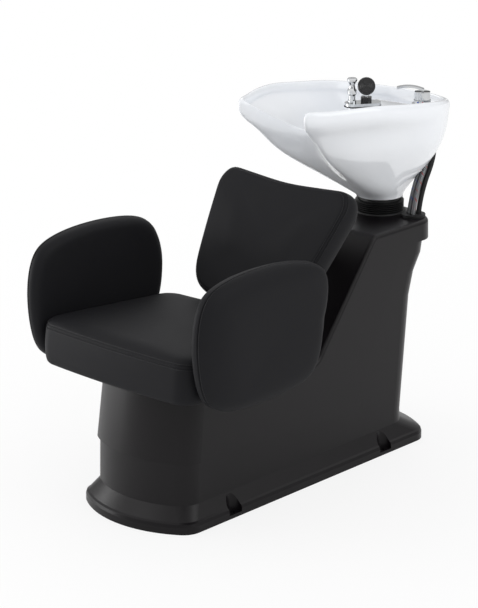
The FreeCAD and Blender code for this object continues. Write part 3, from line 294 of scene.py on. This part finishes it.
def make_materials():
    """Every finish of the object, keyed by the slot it belongs to."""
    made = {}
    # Moulded ABS, fine spark-eroded texture: satin black with a soft gleam along its edges.
    made["moulded_black"], tree, shader = surface("moulded_abs_satin_black", "#0e0c0e", 0.32, specular=0.24)
    place = mottle(tree, shader, 90.0, ("#0d0b0d", "#110e11"), (0.28, 0.36))
    grain(tree, shader, place, 0.9, 0.02)
    # Powder-coated steel: even black with a slight orange-peel.
    made["black_steel"], tree, shader = surface("powder_coated_steel_black", "#121213", 0.5)
    place = mottle(tree, shader, 40.0, ("#111112", "#161617"), (0.45, 0.58))
    grain(tree, shader, place, 1.6, 0.03)
    # Zinc-plated steel: bright grey with a patchy blue-white passivation.
    made["zinc_steel"], tree, shader = surface("zinc_plated_steel", "#b4b8bc", 0.34, metallic=1.0)
    mottle(tree, shader, 6.0, ("#a9aeb3", "#c2c4c4"), (0.28, 0.42))
    # Film-faced plywood: near black resin film with a dull, slightly brown bloom.
    made["plywood"], tree, shader = surface("film_faced_plywood_black", "#1a1716", 0.6, specular=0.2)
    place = mottle(tree, shader, 14.0, ("#171413", "#1f1b19"), (0.54, 0.68))
    grain(tree, shader, place, 2.2, 0.02)
    # Embossed upholstery vinyl: charcoal black, matt, with a fine pebble drawn coarse enough to show.
    made["vinyl"], tree, shader = surface("embossed_vinyl_charcoal", "#19191b", 0.58, specular=0.12)
    place = mottle(tree, shader, 120.0, ("#17171a", "#1c1c1e"), (0.54, 0.62))
    grain(tree, shader, place, 1.4, 0.07, "ShaderNodeTexVoronoi")
    # Bonded polyester thread: black with a slight sheen, a shade lighter than the vinyl.
    made["thread"], tree, shader = surface("bonded_polyester_thread_black", "#242426", 0.5, specular=0.4)
    mottle(tree, shader, 3.0, ("#202022", "#2b2b2d"), (0.42, 0.58))
    # Moulded rubber: deep black and dull.
    made["rubber"], tree, shader = surface("moulded_rubber_black", "#0f0f10", 0.6, specular=0.35)
    place = mottle(tree, shader, 20.0, ("#0d0d0e", "#131314"), (0.5, 0.66))
    grain(tree, shader, place, 0.8, 0.02)
    # Vitreous china with a clear glaze: cool white, mirror gloss over a very slightly wavy body.
    made["ceramic"], tree, shader = surface("glazed_vitreous_china", "#f1f3f8", 0.1)
    place = mottle(tree, shader, 160.0, ("#eff2f7", "#f4f6f9"), (0.07, 0.12))
    grain(tree, shader, place, 28.0, 0.06)
    shader.inputs["Coat Weight"].default_value = 0.5
    shader.inputs["Coat Roughness"].default_value = 0.04
    # Chrome plate on brass, polished: near mirror with faint cloudiness.
    made["chrome"], tree, shader = surface("polished_chrome_plate", "#d2d4d6", 0.07, metallic=1.0)
    mottle(tree, shader, 18.0, ("#cdd0d3", "#d8d9da"), (0.05, 0.1))
    # Injection-moulded acetal: gloss black.
    made["black_plastic"], tree, shader = surface("moulded_acetal_gloss_black", "#0e0e10", 0.26)
    place = mottle(tree, shader, 12.0, ("#0d0d0f", "#121214"), (0.22, 0.32))
    grain(tree, shader, place, 0.6, 0.01)
    # Gloss enamel: the blue and the red of the temperature marks.
    for key, colour in (("cold_enamel", COLD_BLUE), ("hot_enamel", HOT_RED)):
        made[key], *_ = surface("gloss_" + key, colour, 0.25)
    return made


def braid(name, tracer):
    """Braided stainless sleeve: the product of two crossed triangle waves on the hose's own map.

    A narrow band on a long helix shows the coloured tracer, only where a wire lies on top.
    """
    made, tree, shader = surface(name, "#8d8f92", 0.32, metallic=1.0)
    around = add(tree, "ShaderNodeUVMap", uv_map="along")
    axes = add(tree, "ShaderNodeSeparateXYZ", {"Vector": around})
    turns, run = axes.outputs["X"], axes.outputs["Y"]
    climb = add(tree, "ShaderNodeMath", {0: run, 1: 1 / BRAID_RISE}, operation="MULTIPLY")
    waves = []
    for wires in (BRAID_WIRES, -BRAID_WIRES):
        lean = add(tree, "ShaderNodeMath", {0: turns, 1: wires}, operation="MULTIPLY")
        both = add(tree, "ShaderNodeMath", {0: lean, 1: climb}, operation="ADD")
        waves.append(add(tree, "ShaderNodeMath", {0: both, 1: BRAID_PEAK}, operation="PINGPONG"))
    mesh = add(tree, "ShaderNodeMath", {0: waves[0], 1: waves[1]}, operation="MULTIPLY")
    height = add(tree, "ShaderNodeMath", {0: mesh, 1: 1 / BRAID_PEAK ** 2}, operation="MULTIPLY")
    bump = add(tree, "ShaderNodeBump", {"Height": height, "Strength": 1.0, "Distance": BRAID_DEPTH * MM})
    tree.links.new(bump.outputs["Normal"], shader.inputs["Normal"])
    rise = add(tree, "ShaderNodeMath", {0: run, 1: 1 / TRACER_RISE}, operation="MULTIPLY")
    helix = add(tree, "ShaderNodeMath", {0: turns, 1: rise}, operation="ADD")
    fraction = add(tree, "ShaderNodeMath", {0: helix}, operation="FRACT")
    line = add(tree, "ShaderNodeMath", {0: fraction, 1: TRACER_SHARE}, operation="LESS_THAN")
    beads = add(tree, "ShaderNodeMath", {0: waves[0], 1: TRACER_BEAD}, operation="GREATER_THAN")
    spots = add(tree, "ShaderNodeMath", {0: line, 1: beads}, operation="MULTIPLY")
    # Painted shade and highlight: the steel's colour runs from dark in the hollows of the weave to light on
    # the wire tops.
    weave_painted_shade = add(tree, "ShaderNodeValToRGB", {"Fac": height})
    weave_painted_shade.color_ramp.elements[0].color = linear("#3b3c3e")
    weave_painted_shade.color_ramp.elements[1].color = linear("#c9cbcd")
    tint = add(tree, "ShaderNodeMixRGB", {"Fac": spots, "Color1": weave_painted_shade, "Color2": linear(tracer)})
    tree.links.new(tint.outputs["Color"], shader.inputs["Base Color"])
    return made


def unit(vectors):
    """Vectors divided by their length."""
    return vectors / np.linalg.norm(vectors, axis=-1, keepdims=True)


def run_length(points):
    """The length run along a line up to each of its points."""
    return np.concatenate([[0], np.cumsum(np.linalg.norm(np.diff(points, axis=0), axis=1))])


def along(values, run, places):
    """Values that belong to the points of a line, read between them at places along its run."""
    return np.stack([np.interp(places, run, values[:, k]) for k in range(values.shape[1])], axis=1)


def circle(side, front, count):
    """A ring of even steps: the cosine of the turn along one direction and its sine along the other."""
    turn = np.linspace(0, 2 * np.pi, count, endpoint=False)[:, None]
    return side[..., None, :] * np.cos(turn) + front[..., None, :] * np.sin(turn)


def ring_faces(rows, columns):
    """The four-cornered faces between the rings of a grid, each ring closed on itself."""
    row = np.arange(rows - 1)[:, None]
    column = np.arange(columns)[None, :]
    after = (column + 1) % columns
    return np.stack([row * columns + column, row * columns + after, (row + 1) * columns + after,
                     (row + 1) * columns + column], axis=-1).reshape(-1, 4)


def signed_volume(grid):
    """Six times the volume inside a grid of rings, positive where its faces point outwards."""
    here, beside = grid[:-1], np.roll(grid[:-1], -1, axis=1)
    above, across = grid[1:], np.roll(grid[1:], -1, axis=1)
    first = np.einsum("ijk,ijk->", here, np.cross(beside, across))
    second = np.einsum("ijk,ijk->", here, np.cross(across, above))
    return first + second


def mesh_piece(name, points, faces, material, inside_out=False):
    """A smooth mesh from points in millimetres; its faces are turned over if they were given inside out."""
    data = bpy.data.meshes.new(name)
    data.from_pydata((np.reshape(points, (-1, 3)) * MM).tolist(), [], faces)
    data.materials.append(material)
    data.polygons.foreach_set("use_smooth", np.ones(len(data.polygons), bool))
    if inside_out:
        data.flip_normals()
    data.update()
    piece = bpy.data.objects.new(name, data)
    bpy.context.scene.collection.objects.link(piece)
    return piece


def ringed_piece(name, grid, material, capped=True):
    """A piece from a grid of rings; each ring closes round, and a flat face closes either end if capped."""
    rows, columns, _ = grid.shape
    faces = ring_faces(rows, columns).tolist()
    if capped:
        faces.append(list(range(columns))[::-1])
        faces.append(list(range((rows - 1) * columns, rows * columns)))
    piece = mesh_piece(name, grid, faces, material, signed_volume(grid) < 0)
    return piece


def smooth_loop(points, count):
    """A closed cubic spline through evenly set points; its control points come from dividing their waves."""
    points = np.asarray(points, float)
    total = len(points)
    gain = (4 + 2 * np.cos(2 * np.pi * np.arange(total) / total)) / 6
    control = np.fft.ifft(np.fft.fft(points, axis=0) / gain[:, None], axis=0).real
    place = np.arange(count) * total / count
    start = place.astype(int)
    part = (place - start)[:, None]
    weights = ((1 - part) ** 3, 3 * part ** 3 - 6 * part ** 2 + 4,
               -3 * part ** 3 + 3 * part ** 2 + 3 * part + 1, part ** 3)
    return sum(weight / 6 * control[(start + k - 1) % total] for k, weight in enumerate(weights))


def section(controls, sewing):
    """A pad's section: a smooth cubic through its corners, dipped by a small bell at each seam.

    Returns the curve as inset and height, how firmly each sample is held, the samples' places along it, and
    the seams' places. Samples crowd together at the seams.
    """
    controls = np.asarray(controls, float)
    padded = np.vstack([2 * controls[0] - controls[1], controls, 2 * controls[-1] - controls[-2]])
    place = np.linspace(0, len(controls) - SECTION_END, SECTION_SAMPLES)
    start = place.astype(int)
    part = (place - start)[:, None]
    a, b, c, d = (padded[start + k] for k in range(4))
    line = 0.5 * (2 * b + (c - a) * part + (2 * a - 5 * b + 4 * c - d) * part ** 2
                  + (3 * b - a - 3 * c + d) * part ** 3)
    run = run_length(line)
    marks = np.interp(sewing["seams"], place, run)
    crowd = marks[:, None] + np.arange(-SEAM_REACH, SEAM_REACH, FINE_STEP)
    samples = np.concatenate([np.arange(0, run[-1], COARSE_STEP), [run[-1]], crowd.ravel()])
    samples = np.unique(np.clip(samples, 0, run[-1]))
    samples = samples[np.concatenate([[True], np.diff(samples) > LEAST_STEP])]
    curve = along(line, run, samples)
    slope = np.gradient(curve, samples, axis=0)
    normal = unit(np.stack([slope[:, 1], -slope[:, 0]], axis=1))
    apart = (samples - marks[:, None]) / sewing["width"]
    dip = np.exp(-apart ** 2).sum(axis=0)
    hold = np.exp(-(apart / SEAM_HOLD) ** 2).sum(axis=0)
    return curve + normal * (sewing["depth"] * dip)[:, None], np.clip(hold, 0, 1), samples, marks


def puff(piece, held, limit):
    """Cloth under light air pressure, held at the seams and the underside; no point moves past the limit.

    Only the broad waves of the movement round each ring are kept, and they fade toward the middle of the pad.
    """
    data = piece.data
    rest = np.empty(len(data.vertices) * 3)
    data.vertices.foreach_get("co", rest)
    rest = rest.reshape(-1, 3)
    group = piece.vertex_groups.new(name="held")
    group.add(np.flatnonzero(held > PUFF_HELD).tolist(), 1.0, "REPLACE")
    cloth = piece.modifiers.new("upholstery", "CLOTH")
    settings = cloth.settings
    settings.use_pressure = True
    settings.uniform_pressure_force = PUFF_PRESSURE
    settings.effector_weights.gravity = 0.0
    settings.vertex_group_mass = "held"
    settings.tension_stiffness = PUFF_STIFFNESS
    settings.compression_stiffness = PUFF_STIFFNESS
    settings.bending_stiffness = PUFF_BENDING
    settings.quality = PUFF_QUALITY
    cloth.point_cache.frame_start = 1
    cloth.point_cache.frame_end = PUFF_STEPS
    for step in range(1, PUFF_STEPS + 1):
        bpy.context.scene.frame_set(step)
    shown = piece.evaluated_get(bpy.context.evaluated_depsgraph_get())
    moved = np.empty(len(rest) * 3)
    shown.data.vertices.foreach_get("co", moved)
    piece.modifiers.remove(cloth)
    piece.vertex_groups.clear()
    bpy.context.scene.frame_set(1)
    shift = np.nan_to_num(moved.reshape(-1, 3) - rest)
    length = np.linalg.norm(shift, axis=1)
    share = np.minimum(1.0, limit * MM / np.maximum(length, PUFF_LEAST))
    shift = (shift * share[:, None]).reshape(-1, ROUND_STEPS, 3)
    rings = rest.reshape(-1, ROUND_STEPS, 3)
    reach = np.linalg.norm(rings - rings.mean(axis=1, keepdims=True), axis=2).mean(axis=1)
    gain, loss = PUFF_FADE
    waves = np.fft.rfft(shift, axis=1)
    waves[:, PUFF_WAVES:] = 0
    waves[:, 1:] *= np.clip(gain * reach / reach.max() - loss, 0, 1)[:, None, None]
    shift = np.fft.irfft(waves, n=ROUND_STEPS, axis=1).reshape(-1, 3) * (1 - held)[:, None]
    data.vertices.foreach_set("co", (rest + shift).ravel())
    data.update()


def pad(name, node, outline, controls, sewing, placed, material, thread):
    """A stuffed pad: its outline is drawn in by each row of the section and set at the row's height.

    Insets past the rolled edge are stretched so that the last ring nearly closes on the middle.
    """
    profile, hold, samples, marks = section(controls, sewing)
    middle = (outline.min(axis=0) + outline.max(axis=0)) / 2
    radius = np.linalg.norm(outline - middle, axis=1).min()
    inset = profile[:, 0]
    stretch = (PAD_CLOSE * radius - PAD_EDGE) / (inset.max() - PAD_EDGE)
    inset = np.where(inset > PAD_EDGE, PAD_EDGE + (inset - PAD_EDGE) * stretch, inset)
    rings = middle + (outline - middle)[None] * (1 - inset / radius)[:, None, None]
    heights = np.repeat(profile[:, 1:2], len(outline), axis=1)
    grid = placed(rings[..., 0], rings[..., 1], heights)
    piece = ringed_piece(name, grid, material)
    held = np.maximum(hold, profile[:, 1] <= sewing["underside"])
    puff(piece, np.repeat(held, len(outline)), sewing["puff"])
    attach(piece, "base")
    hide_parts(node)
    rows = [np.abs(samples - mark - offset).argmin() for mark, offset in zip(marks, sewing["rows"])]
    stitches(name + "_stitches", grid, rows, thread)


def stitches(name, grid, rows, material):
    """Thread: short spindles end to end along a pad's seam rows, each turned to its row and the surface."""
    middle = grid.reshape(-1, 3).mean(axis=0)
    length = np.array(STITCH_PLACES)[:, None, None] * STITCH_LENGTH
    thick = np.array(STITCH_SWELL)[:, None, None] * STITCH_RADIUS
    spindles = []
    for row in rows:
        ring = np.vstack([grid[row], grid[row][:1]])
        run = run_length(ring)
        spots = np.arange(0, run[-1] - STITCH_PITCH, STITCH_PITCH)
        centre = along(ring, run, spots)
        way = unit(along(ring, run, spots + STITCH_PITCH / 2) - centre)
        climb = along(grid[row + STITCH_REACH] - grid[row - STITCH_REACH], run[:-1], spots)
        out = unit(np.cross(way, climb))
        out *= np.sign(np.einsum("ij,ij->i", out, centre - middle))[:, None]
        radial = circle(out, np.cross(out, way), STITCH_SIDES)[:, None]
        lift = out * STITCH_RADIUS * STITCH_LIFT
        spindles.append((centre + lift)[:, None, None] + way[:, None, None] * length + radial * thick)
    points = np.concatenate(spindles)
    count, steps, sides = points.shape[:3]
    start = (np.arange(count) * steps * sides)[:, None]
    walls = (start[:, :, None] + ring_faces(steps, sides)).reshape(-1, 4)
    low_ends = start + np.arange(sides)[::-1]
    high_ends = start + (steps - 1) * sides + np.arange(sides)
    faces = walls.tolist() + low_ends.tolist() + high_ends.tolist()
    piece = mesh_piece(name, points, faces, material, signed_volume(points[0]) < 0)
    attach(piece, "base")


def seat_outline(count):
    """The seat's plan: four quarter circles joined by straight sides, the ends bowed out by a parabola."""
    turn = np.linspace(0, np.pi / 2, SEAT_CORNER_STEPS)
    quarter = SEAT_CORNER * np.stack([np.cos(turn), np.sin(turn)], axis=1)
    first = np.array([SEAT_HALF_WIDTH - SEAT_CORNER, SEAT_HALF_LENGTH - SEAT_CORNER]) + quarter
    loop = np.vstack([first, first[::-1] * (-1, 1), first * -1, first[::-1] * (1, -1), first[:1]])
    run = run_length(loop)
    x, y = along(loop, run, np.linspace(0, run[-1], count, endpoint=False)).T
    bow = 1 - SEAT_BOW / SEAT_HALF_LENGTH * (x / SEAT_HALF_WIDTH) ** 2
    return np.stack([x, y * bow], axis=1)


def make_seat(material, thread):
    """Seat cushion: wrapped round its board, an upright band, a double seam below the edge, a low crown."""
    lean = math.radians(-SEAT_TILT)

    def placed(x, y, height):
        """Tilts the level pad back about its lower front edge."""
        level = y + SEAT_HALF_LENGTH
        return np.stack([x, SEAT_FRONT_Y + level * math.cos(lean) - height * math.sin(lean),
                         SEAT_LOW + level * math.sin(lean) + height * math.cos(lean)], axis=-1)

    pad("seat_pad", "seat_cushion", seat_outline(ROUND_STEPS), SEAT_SECTION, SEAT_SEWING, placed, material,
        thread)


def make_arm(name, node, side, material, thread):
    """Armrest pad: flat toward the seat, rolled edges, a seam where the domed outer panel starts.

    The rings of the outer panel are swept to the rear, so that the pad thins toward its front.
    """

    def placed(y, z, height):
        """Stands the pad upright, sweeps its outer rings to the rear and draws them in below the shoulder."""
        depth = height / ARM_THICKNESS
        sweep = ARM_SWEEP * np.interp(depth, ARM_SWEEP_DEPTH_SHARES, ARM_SWEEP_SHARES)
        rear = np.clip(y / ARM_REAR, 0, 1) ** 2 * np.clip((ARM_SHOULDER - z) / ARM_SHOULDER, 0, 1)
        ramp = np.clip(depth / ARM_TRIM_DEPTH_SHARE, 0, 1)
        trim = ARM_TRIM * rear * ramp ** 2 * (3 - 2 * ramp)
        return np.stack([side * (ARM_INNER + height), y + ARM_CENTRE[0] + sweep - trim, z + ARM_CENTRE[1]],
                        axis=-1)

    pad(name, node, smooth_loop(ARM_OUTLINE, ROUND_STEPS), ARM_SECTION, ARM_SEWING, placed, material, thread)


def make_back(material, thread):
    """Back cushion: waisted, with raised corners, a boxed edge and a double seam round its front panel."""
    half = [(BACK_HALF_TOP * x, BACK_HEIGHT * s) for x, s in zip(BACK_X_SHARES, BACK_S_SHARES)]
    points = half + [(0.0, BACK_HEIGHT * BACK_S_SHARES[-1])] + [(-x, s) for x, s in half[:0:-1]]
    lean = math.radians(BACK_LEAN)

    def placed(x, s, height):
        """Leans the pad back with the column front."""
        depth = BACK_THICKNESS - height
        return np.stack([x, BACK_FOOT[0] + s * math.sin(lean) + depth * math.cos(lean),
                         BACK_FOOT[1] + s * math.cos(lean) - depth * math.sin(lean)], axis=-1)

    pad("back_pad", "back_cushion", smooth_loop(points, ROUND_STEPS), BACK_SECTION, BACK_SEWING, placed,
        material, thread)


def turned_piece(name, profile, origin, axis, material, body):
    """A small turned form: a profile of radius and height swept round an axis."""
    axis = unit(np.asarray(axis))
    side = unit(np.cross(axis, UP))
    ring = circle(side, np.cross(axis, side), TURNED_SIDES)
    grid = np.asarray(origin) + profile[:, 0, None, None] * ring + (profile[:, 1, None] * axis)[:, None]
    piece = ringed_piece(name, grid, material)
    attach(piece, body)


def make_spray_face(material):
    """The spray's rose: a low dome, steep at its edge, whose height ripples outwards by a cosine."""
    radius = np.linspace(SPRAY_FACE_RADIUS, ROSE_CENTRE, ROSE_STEPS)
    share = radius / SPRAY_FACE_RADIUS
    dome = ROSE_DOME * np.sqrt(np.clip(1 - share ** ROSE_DOME_POWER, 0, 1))
    ripple = dome + ROSE_RIPPLE * np.cos(2 * np.pi * ROSE_RINGS * share)
    height = SPRAY_FACE_RISE + np.clip(ripple, 0, None) * np.clip((1 - share) * ROSE_EDGE, 0, 1)
    profile = np.column_stack([np.append(ROSE_CENTRE, radius), np.append(SPRAY_FACE_RISE, height)])
    turned_piece("spray_rose", profile, SPRAY_FACE, SPRAY_AXIS, material, "spray")


def make_drawn_hose(material):
    """The spray's own hose: a straight tube that lies in the guide and is drawn out with the spray."""
    x, y, _ = SPRAY_FACE
    ring = DRAWN_HOSE_RADIUS * circle(ACROSS, REARWARD, DRAWN_HOSE_SIDES)
    height = np.linspace(DRAWN_HOSE_LOW, DRAWN_HOSE_TOP, DRAWN_HOSE_LEVELS)
    grid = x * ACROSS + y * REARWARD + ring + height[:, None, None] * UP
    piece = ringed_piece("drawn_spray_hose", grid, material)
    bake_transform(piece)


def make_mixer_marks(cold, hot):
    """Two buttons on the mixer body for the cold and the hot side: a quarter of an ellipse, turned."""
    turn = np.linspace(0, np.pi / 2, MARK_STEPS, endpoint=False)
    radius = np.concatenate([[MARK_CENTRE], MARK_RADIUS * np.cos(turn), [MARK_CENTRE]])
    height = np.concatenate([[0.0], MARK_HEIGHT * np.sin(turn), [MARK_HEIGHT]])
    dome = np.column_stack([radius, height])
    for name, step, material in (("cold_mark", -1, cold), ("hot_mark", 1, hot)):
        heading = math.radians(MARK_HEADING + step * MARK_TURN)
        way = np.array([math.cos(heading), math.sin(heading), 0.0])
        turned_piece(name, dome, MIXER_CENTRE + way * (MIXER_RADIUS + MARK_PROUD), way, material, "bowl")


def make_gaiter(material):
    """Ribbed sleeve: a turned wall whose radius swings by a sine, and spreads by a root at its foot."""
    share = np.linspace(0, 1, GAITER_LEVELS)
    wave = GAITER_RADIUS + GAITER_SWING * np.sin(2 * np.pi * (share * GAITER_RIBS + GAITER_START))
    foot = np.clip(1 - share / GAITER_FOOT_SHARE, 0, 1)
    outer = wave + (GAITER_FOOT_RADIUS - wave) * np.sqrt(foot)
    rise = GAITER_LOW + (GAITER_TOP - GAITER_LOW) * share
    radius = np.concatenate([outer, outer[::-1] - GAITER_WALL, outer[:1]])
    level = np.concatenate([rise, rise[::-1], rise[:1]])
    ring = circle(ACROSS, REARWARD, GAITER_STEPS)
    grid = AXIS_Y * REARWARD + radius[:, None, None] * ring + level[:, None, None] * UP
    piece = ringed_piece("ribbed_gaiter", grid, material, capped=False)
    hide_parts("gaiter")
    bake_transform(piece)


def route_points(name, points):
    """The points of a smooth curve whose control points are the route."""
    curve = bpy.data.curves.new(name, "CURVE")
    curve.dimensions = "3D"
    spline = curve.splines.new("NURBS")
    spline.points.add(len(points) - 1)
    spline.points.foreach_set("co", np.hstack([np.array(points) * MM, np.ones((len(points), 1))]).ravel())
    spline.order_u = 3
    spline.use_endpoint_u = True
    spline.resolution_u = HOSE_STEPS
    holder = bpy.data.objects.new(name, curve)
    bpy.context.scene.collection.objects.link(holder)
    bpy.context.view_layer.update()
    line = bpy.data.meshes.new_from_object(holder.evaluated_get(bpy.context.evaluated_depsgraph_get()))
    path = np.empty(len(line.vertices) * 3)
    line.vertices.foreach_get("co", path)
    bpy.data.objects.remove(holder)
    bpy.data.meshes.remove(line)
    return path.reshape(-1, 3) / MM


def map_along(piece, run):
    """Gives a tube a map of turns round it and millimetres along it; its last column ends at a whole turn."""
    data = piece.data
    corner = np.empty(len(data.loops), int)
    data.loops.foreach_get("vertex_index", corner)
    column = corner % HOSE_SIDES
    sizes = np.empty(len(data.polygons), int)
    data.polygons.foreach_get("loop_total", sizes)
    owner = np.repeat(np.arange(len(sizes)), sizes)
    last = np.zeros(len(sizes), bool)
    np.logical_or.at(last, owner, column == HOSE_SIDES - 1)
    turns = np.where((column == 0) & last[owner], HOSE_SIDES, column) / HOSE_SIDES
    layer = data.uv_layers.new(name="along")
    layer.data.foreach_set("uv", np.stack([turns, run[corner // HOSE_SIDES]], axis=1).ravel())


def make_hose(name, material):
    """A hose: a circle carried along its route, square to the route's direction at every point."""
    radius = HOSE_RADII[name]
    aside = HOSE_SPREAD * np.array([*HOSE_SHARES[name], 0.0])
    start = aside + HOSE_FOOT
    knee = (start[0], start[1], HOSE_KNEE_HEIGHT)
    end = aside + HOSE_EXIT
    path = route_points(name + "_route", [start, knee, end, end + HOSE_TURN_IN])
    way = unit(np.gradient(path, axis=0))
    side = unit(np.cross(way, REARWARD))
    grid = path[:, None] + radius * circle(side, np.cross(way, side), HOSE_SIDES)
    piece = ringed_piece(name + "_tube", grid, material)
    run = run_length(path)
    map_along(piece, run)
    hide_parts(name)
    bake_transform(piece)


def make_room():
    """White surround: full white to the camera, softer on matt surfaces, and darker low down in mirrors."""
    bpy.context.scene.view_settings.view_transform = "Standard"
    world = bpy.data.worlds.new("studio")
    bpy.context.scene.world = world
    world.use_nodes = True
    tree = world.node_tree
    tree.nodes.clear()
    rays = add(tree, "ShaderNodeLightPath")
    way = add(tree, "ShaderNodeTexCoord").outputs["Generated"]
    axes = add(tree, "ShaderNodeSeparateXYZ", {"Vector": way})
    change = add(tree, "ShaderNodeMapRange", {
        "Value": axes.outputs["Z"], "From Min": MIRROR_RISE[0], "From Max": MIRROR_RISE[1],
        "To Min": MIRROR_LEVEL[0] - ROOM_LEVEL, "To Max": MIRROR_LEVEL[1] - ROOM_LEVEL})
    room = add(tree, "ShaderNodeMath", {0: rays.outputs["Is Glossy Ray"], 1: change, 2: ROOM_LEVEL},
               operation="MULTIPLY_ADD")
    level = add(tree, "ShaderNodeMath", {0: room, 1: rays.outputs["Is Camera Ray"]}, operation="MAXIMUM")
    light = add(tree, "ShaderNodeBackground", {"Color": linear(WHITE), "Strength": level})
    add(tree, "ShaderNodeOutputWorld", {"Surface": light})


def make_floor():
    """Pale seamless floor, white to the camera away from the object and dimmer in mirror-like surfaces.

    The floor under the hollow pedestal stays unlit, so that no light shows through its parting line.
    """
    made, tree, shader = surface("painted_floor_white", "#f4f4f4", 0.8, specular=0.1)
    rays = add(tree, "ShaderNodeLightPath")
    mirror = add(tree, "ShaderNodeMath", {0: rays.outputs["Is Glossy Ray"], 1: MIRROR_FLOOR},
                 operation="MULTIPLY")
    seen = add(tree, "ShaderNodeMath", {0: rays.outputs["Is Camera Ray"], 1: mirror}, operation="MAXIMUM")
    place = add(tree, "ShaderNodeTexCoord").outputs["Object"]
    away = add(tree, "ShaderNodeVectorMath", {0: place}, operation="LENGTH").outputs["Value"]
    blank = add(tree, "ShaderNodeMapRange", {
        "Value": away, "From Min": FLOOR_FADE[0], "From Max": FLOOR_FADE[1],
        "To Min": FLOOR_GLOW[0], "To Max": FLOOR_GLOW[1]})
    axes = add(tree, "ShaderNodeSeparateXYZ", {"Vector": place})
    outside = []
    for axis, half in (("X", PEDESTAL_HALF_WIDTH), ("Y", PEDESTAL_HALF_LENGTH)):
        beside = add(tree, "ShaderNodeMath", {0: axes.outputs[axis]}, operation="ABSOLUTE")
        outside.append(add(tree, "ShaderNodeMath", {0: beside, 1: half * MM}, operation="GREATER_THAN"))
    open_floor = add(tree, "ShaderNodeMath", {0: outside[0], 1: outside[1]}, operation="MAXIMUM")
    bright = add(tree, "ShaderNodeMath", {0: blank, 1: open_floor}, operation="MULTIPLY")
    share = add(tree, "ShaderNodeMath", {0: seen, 1: bright}, operation="MULTIPLY")
    glow = add(tree, "ShaderNodeEmission", {"Color": linear(WHITE), "Strength": 1.0})
    mix = add(tree, "ShaderNodeMixShader", {0: share, 1: shader, 2: glow})
    tree.links.new(mix.outputs[0], tree.nodes["Material Output"].inputs["Surface"])
    corners = FLOOR_REACH * np.array([(-1, -1, 0), (1, -1, 0), (1, 1, 0), (-1, 1, 0)])
    floor = mesh_piece("studio_floor", corners, [(0, 1, 2, 3)], made)


def make_light(name, place, size, power):
    """A square soft box that faces the middle of the object."""
    lamp = bpy.data.lights.new(name, "AREA")
    lamp.size = size
    lamp.energy = power
    holder = bpy.data.objects.new(name, lamp)
    bpy.context.scene.collection.objects.link(holder)
    holder.location = place
    aim = Vector(LAMP_AIM) - holder.location
    holder.rotation_euler = aim.to_track_quat("-Z", "Y").to_euler()


def make_camera():
    """A long lens at the photograph's angle."""
    lens = bpy.data.cameras.new("camera")
    lens.sensor_width = SENSOR
    lens.lens = FOCAL_PIXELS * SENSOR / IMAGE_HEIGHT
    lens.clip_end = VIEW_END
    holder = bpy.data.objects.new("camera", lens)
    bpy.context.scene.collection.objects.link(holder)
    azimuth, elevation = math.radians(VIEW_AZIMUTH), math.radians(VIEW_ELEVATION)
    back = Vector((math.sin(azimuth) * math.cos(elevation), -math.cos(azimuth) * math.cos(elevation),
                   math.sin(elevation)))
    holder.location = Vector(VIEW_TARGET) + back * VIEW_DISTANCE
    holder.rotation_euler = (-back).to_track_quat("-Z", "Y").to_euler()
    bpy.context.scene.camera = holder


make_camera()
make_room()
make_floor()
for name, (place, size, power) in LAMPS.items():
    make_light(name, place, size, power)

finishes = make_materials()
finishes["steel_braid"] = braid("braided_steel_blue_tracer", COLD_BLUE)
hot_braid = braid("braided_steel_red_tracer", HOT_RED)
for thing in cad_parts.values():
    for place in thing.material_slots:
        key = place.material.name.split(".")[0]
        if key in finishes:
            place.material = finishes[key]

make_seat(finishes["vinyl"], finishes["thread"])
make_arm("right_arm_pad", "right_armrest", 1, finishes["vinyl"], finishes["thread"])
make_arm("left_arm_pad", "left_armrest", -1, finishes["vinyl"], finishes["thread"])
make_back(finishes["vinyl"], finishes["thread"])
make_gaiter(finishes["rubber"])
make_spray_face(finishes["black_plastic"])
make_drawn_hose(finishes["rubber"])
make_mixer_marks(finishes["cold_enamel"], finishes["hot_enamel"])
make_hose("cold_hose", finishes["steel_braid"])
make_hose("hot_hose", hot_braid)
make_hose("spray_hose", finishes["rubber"])
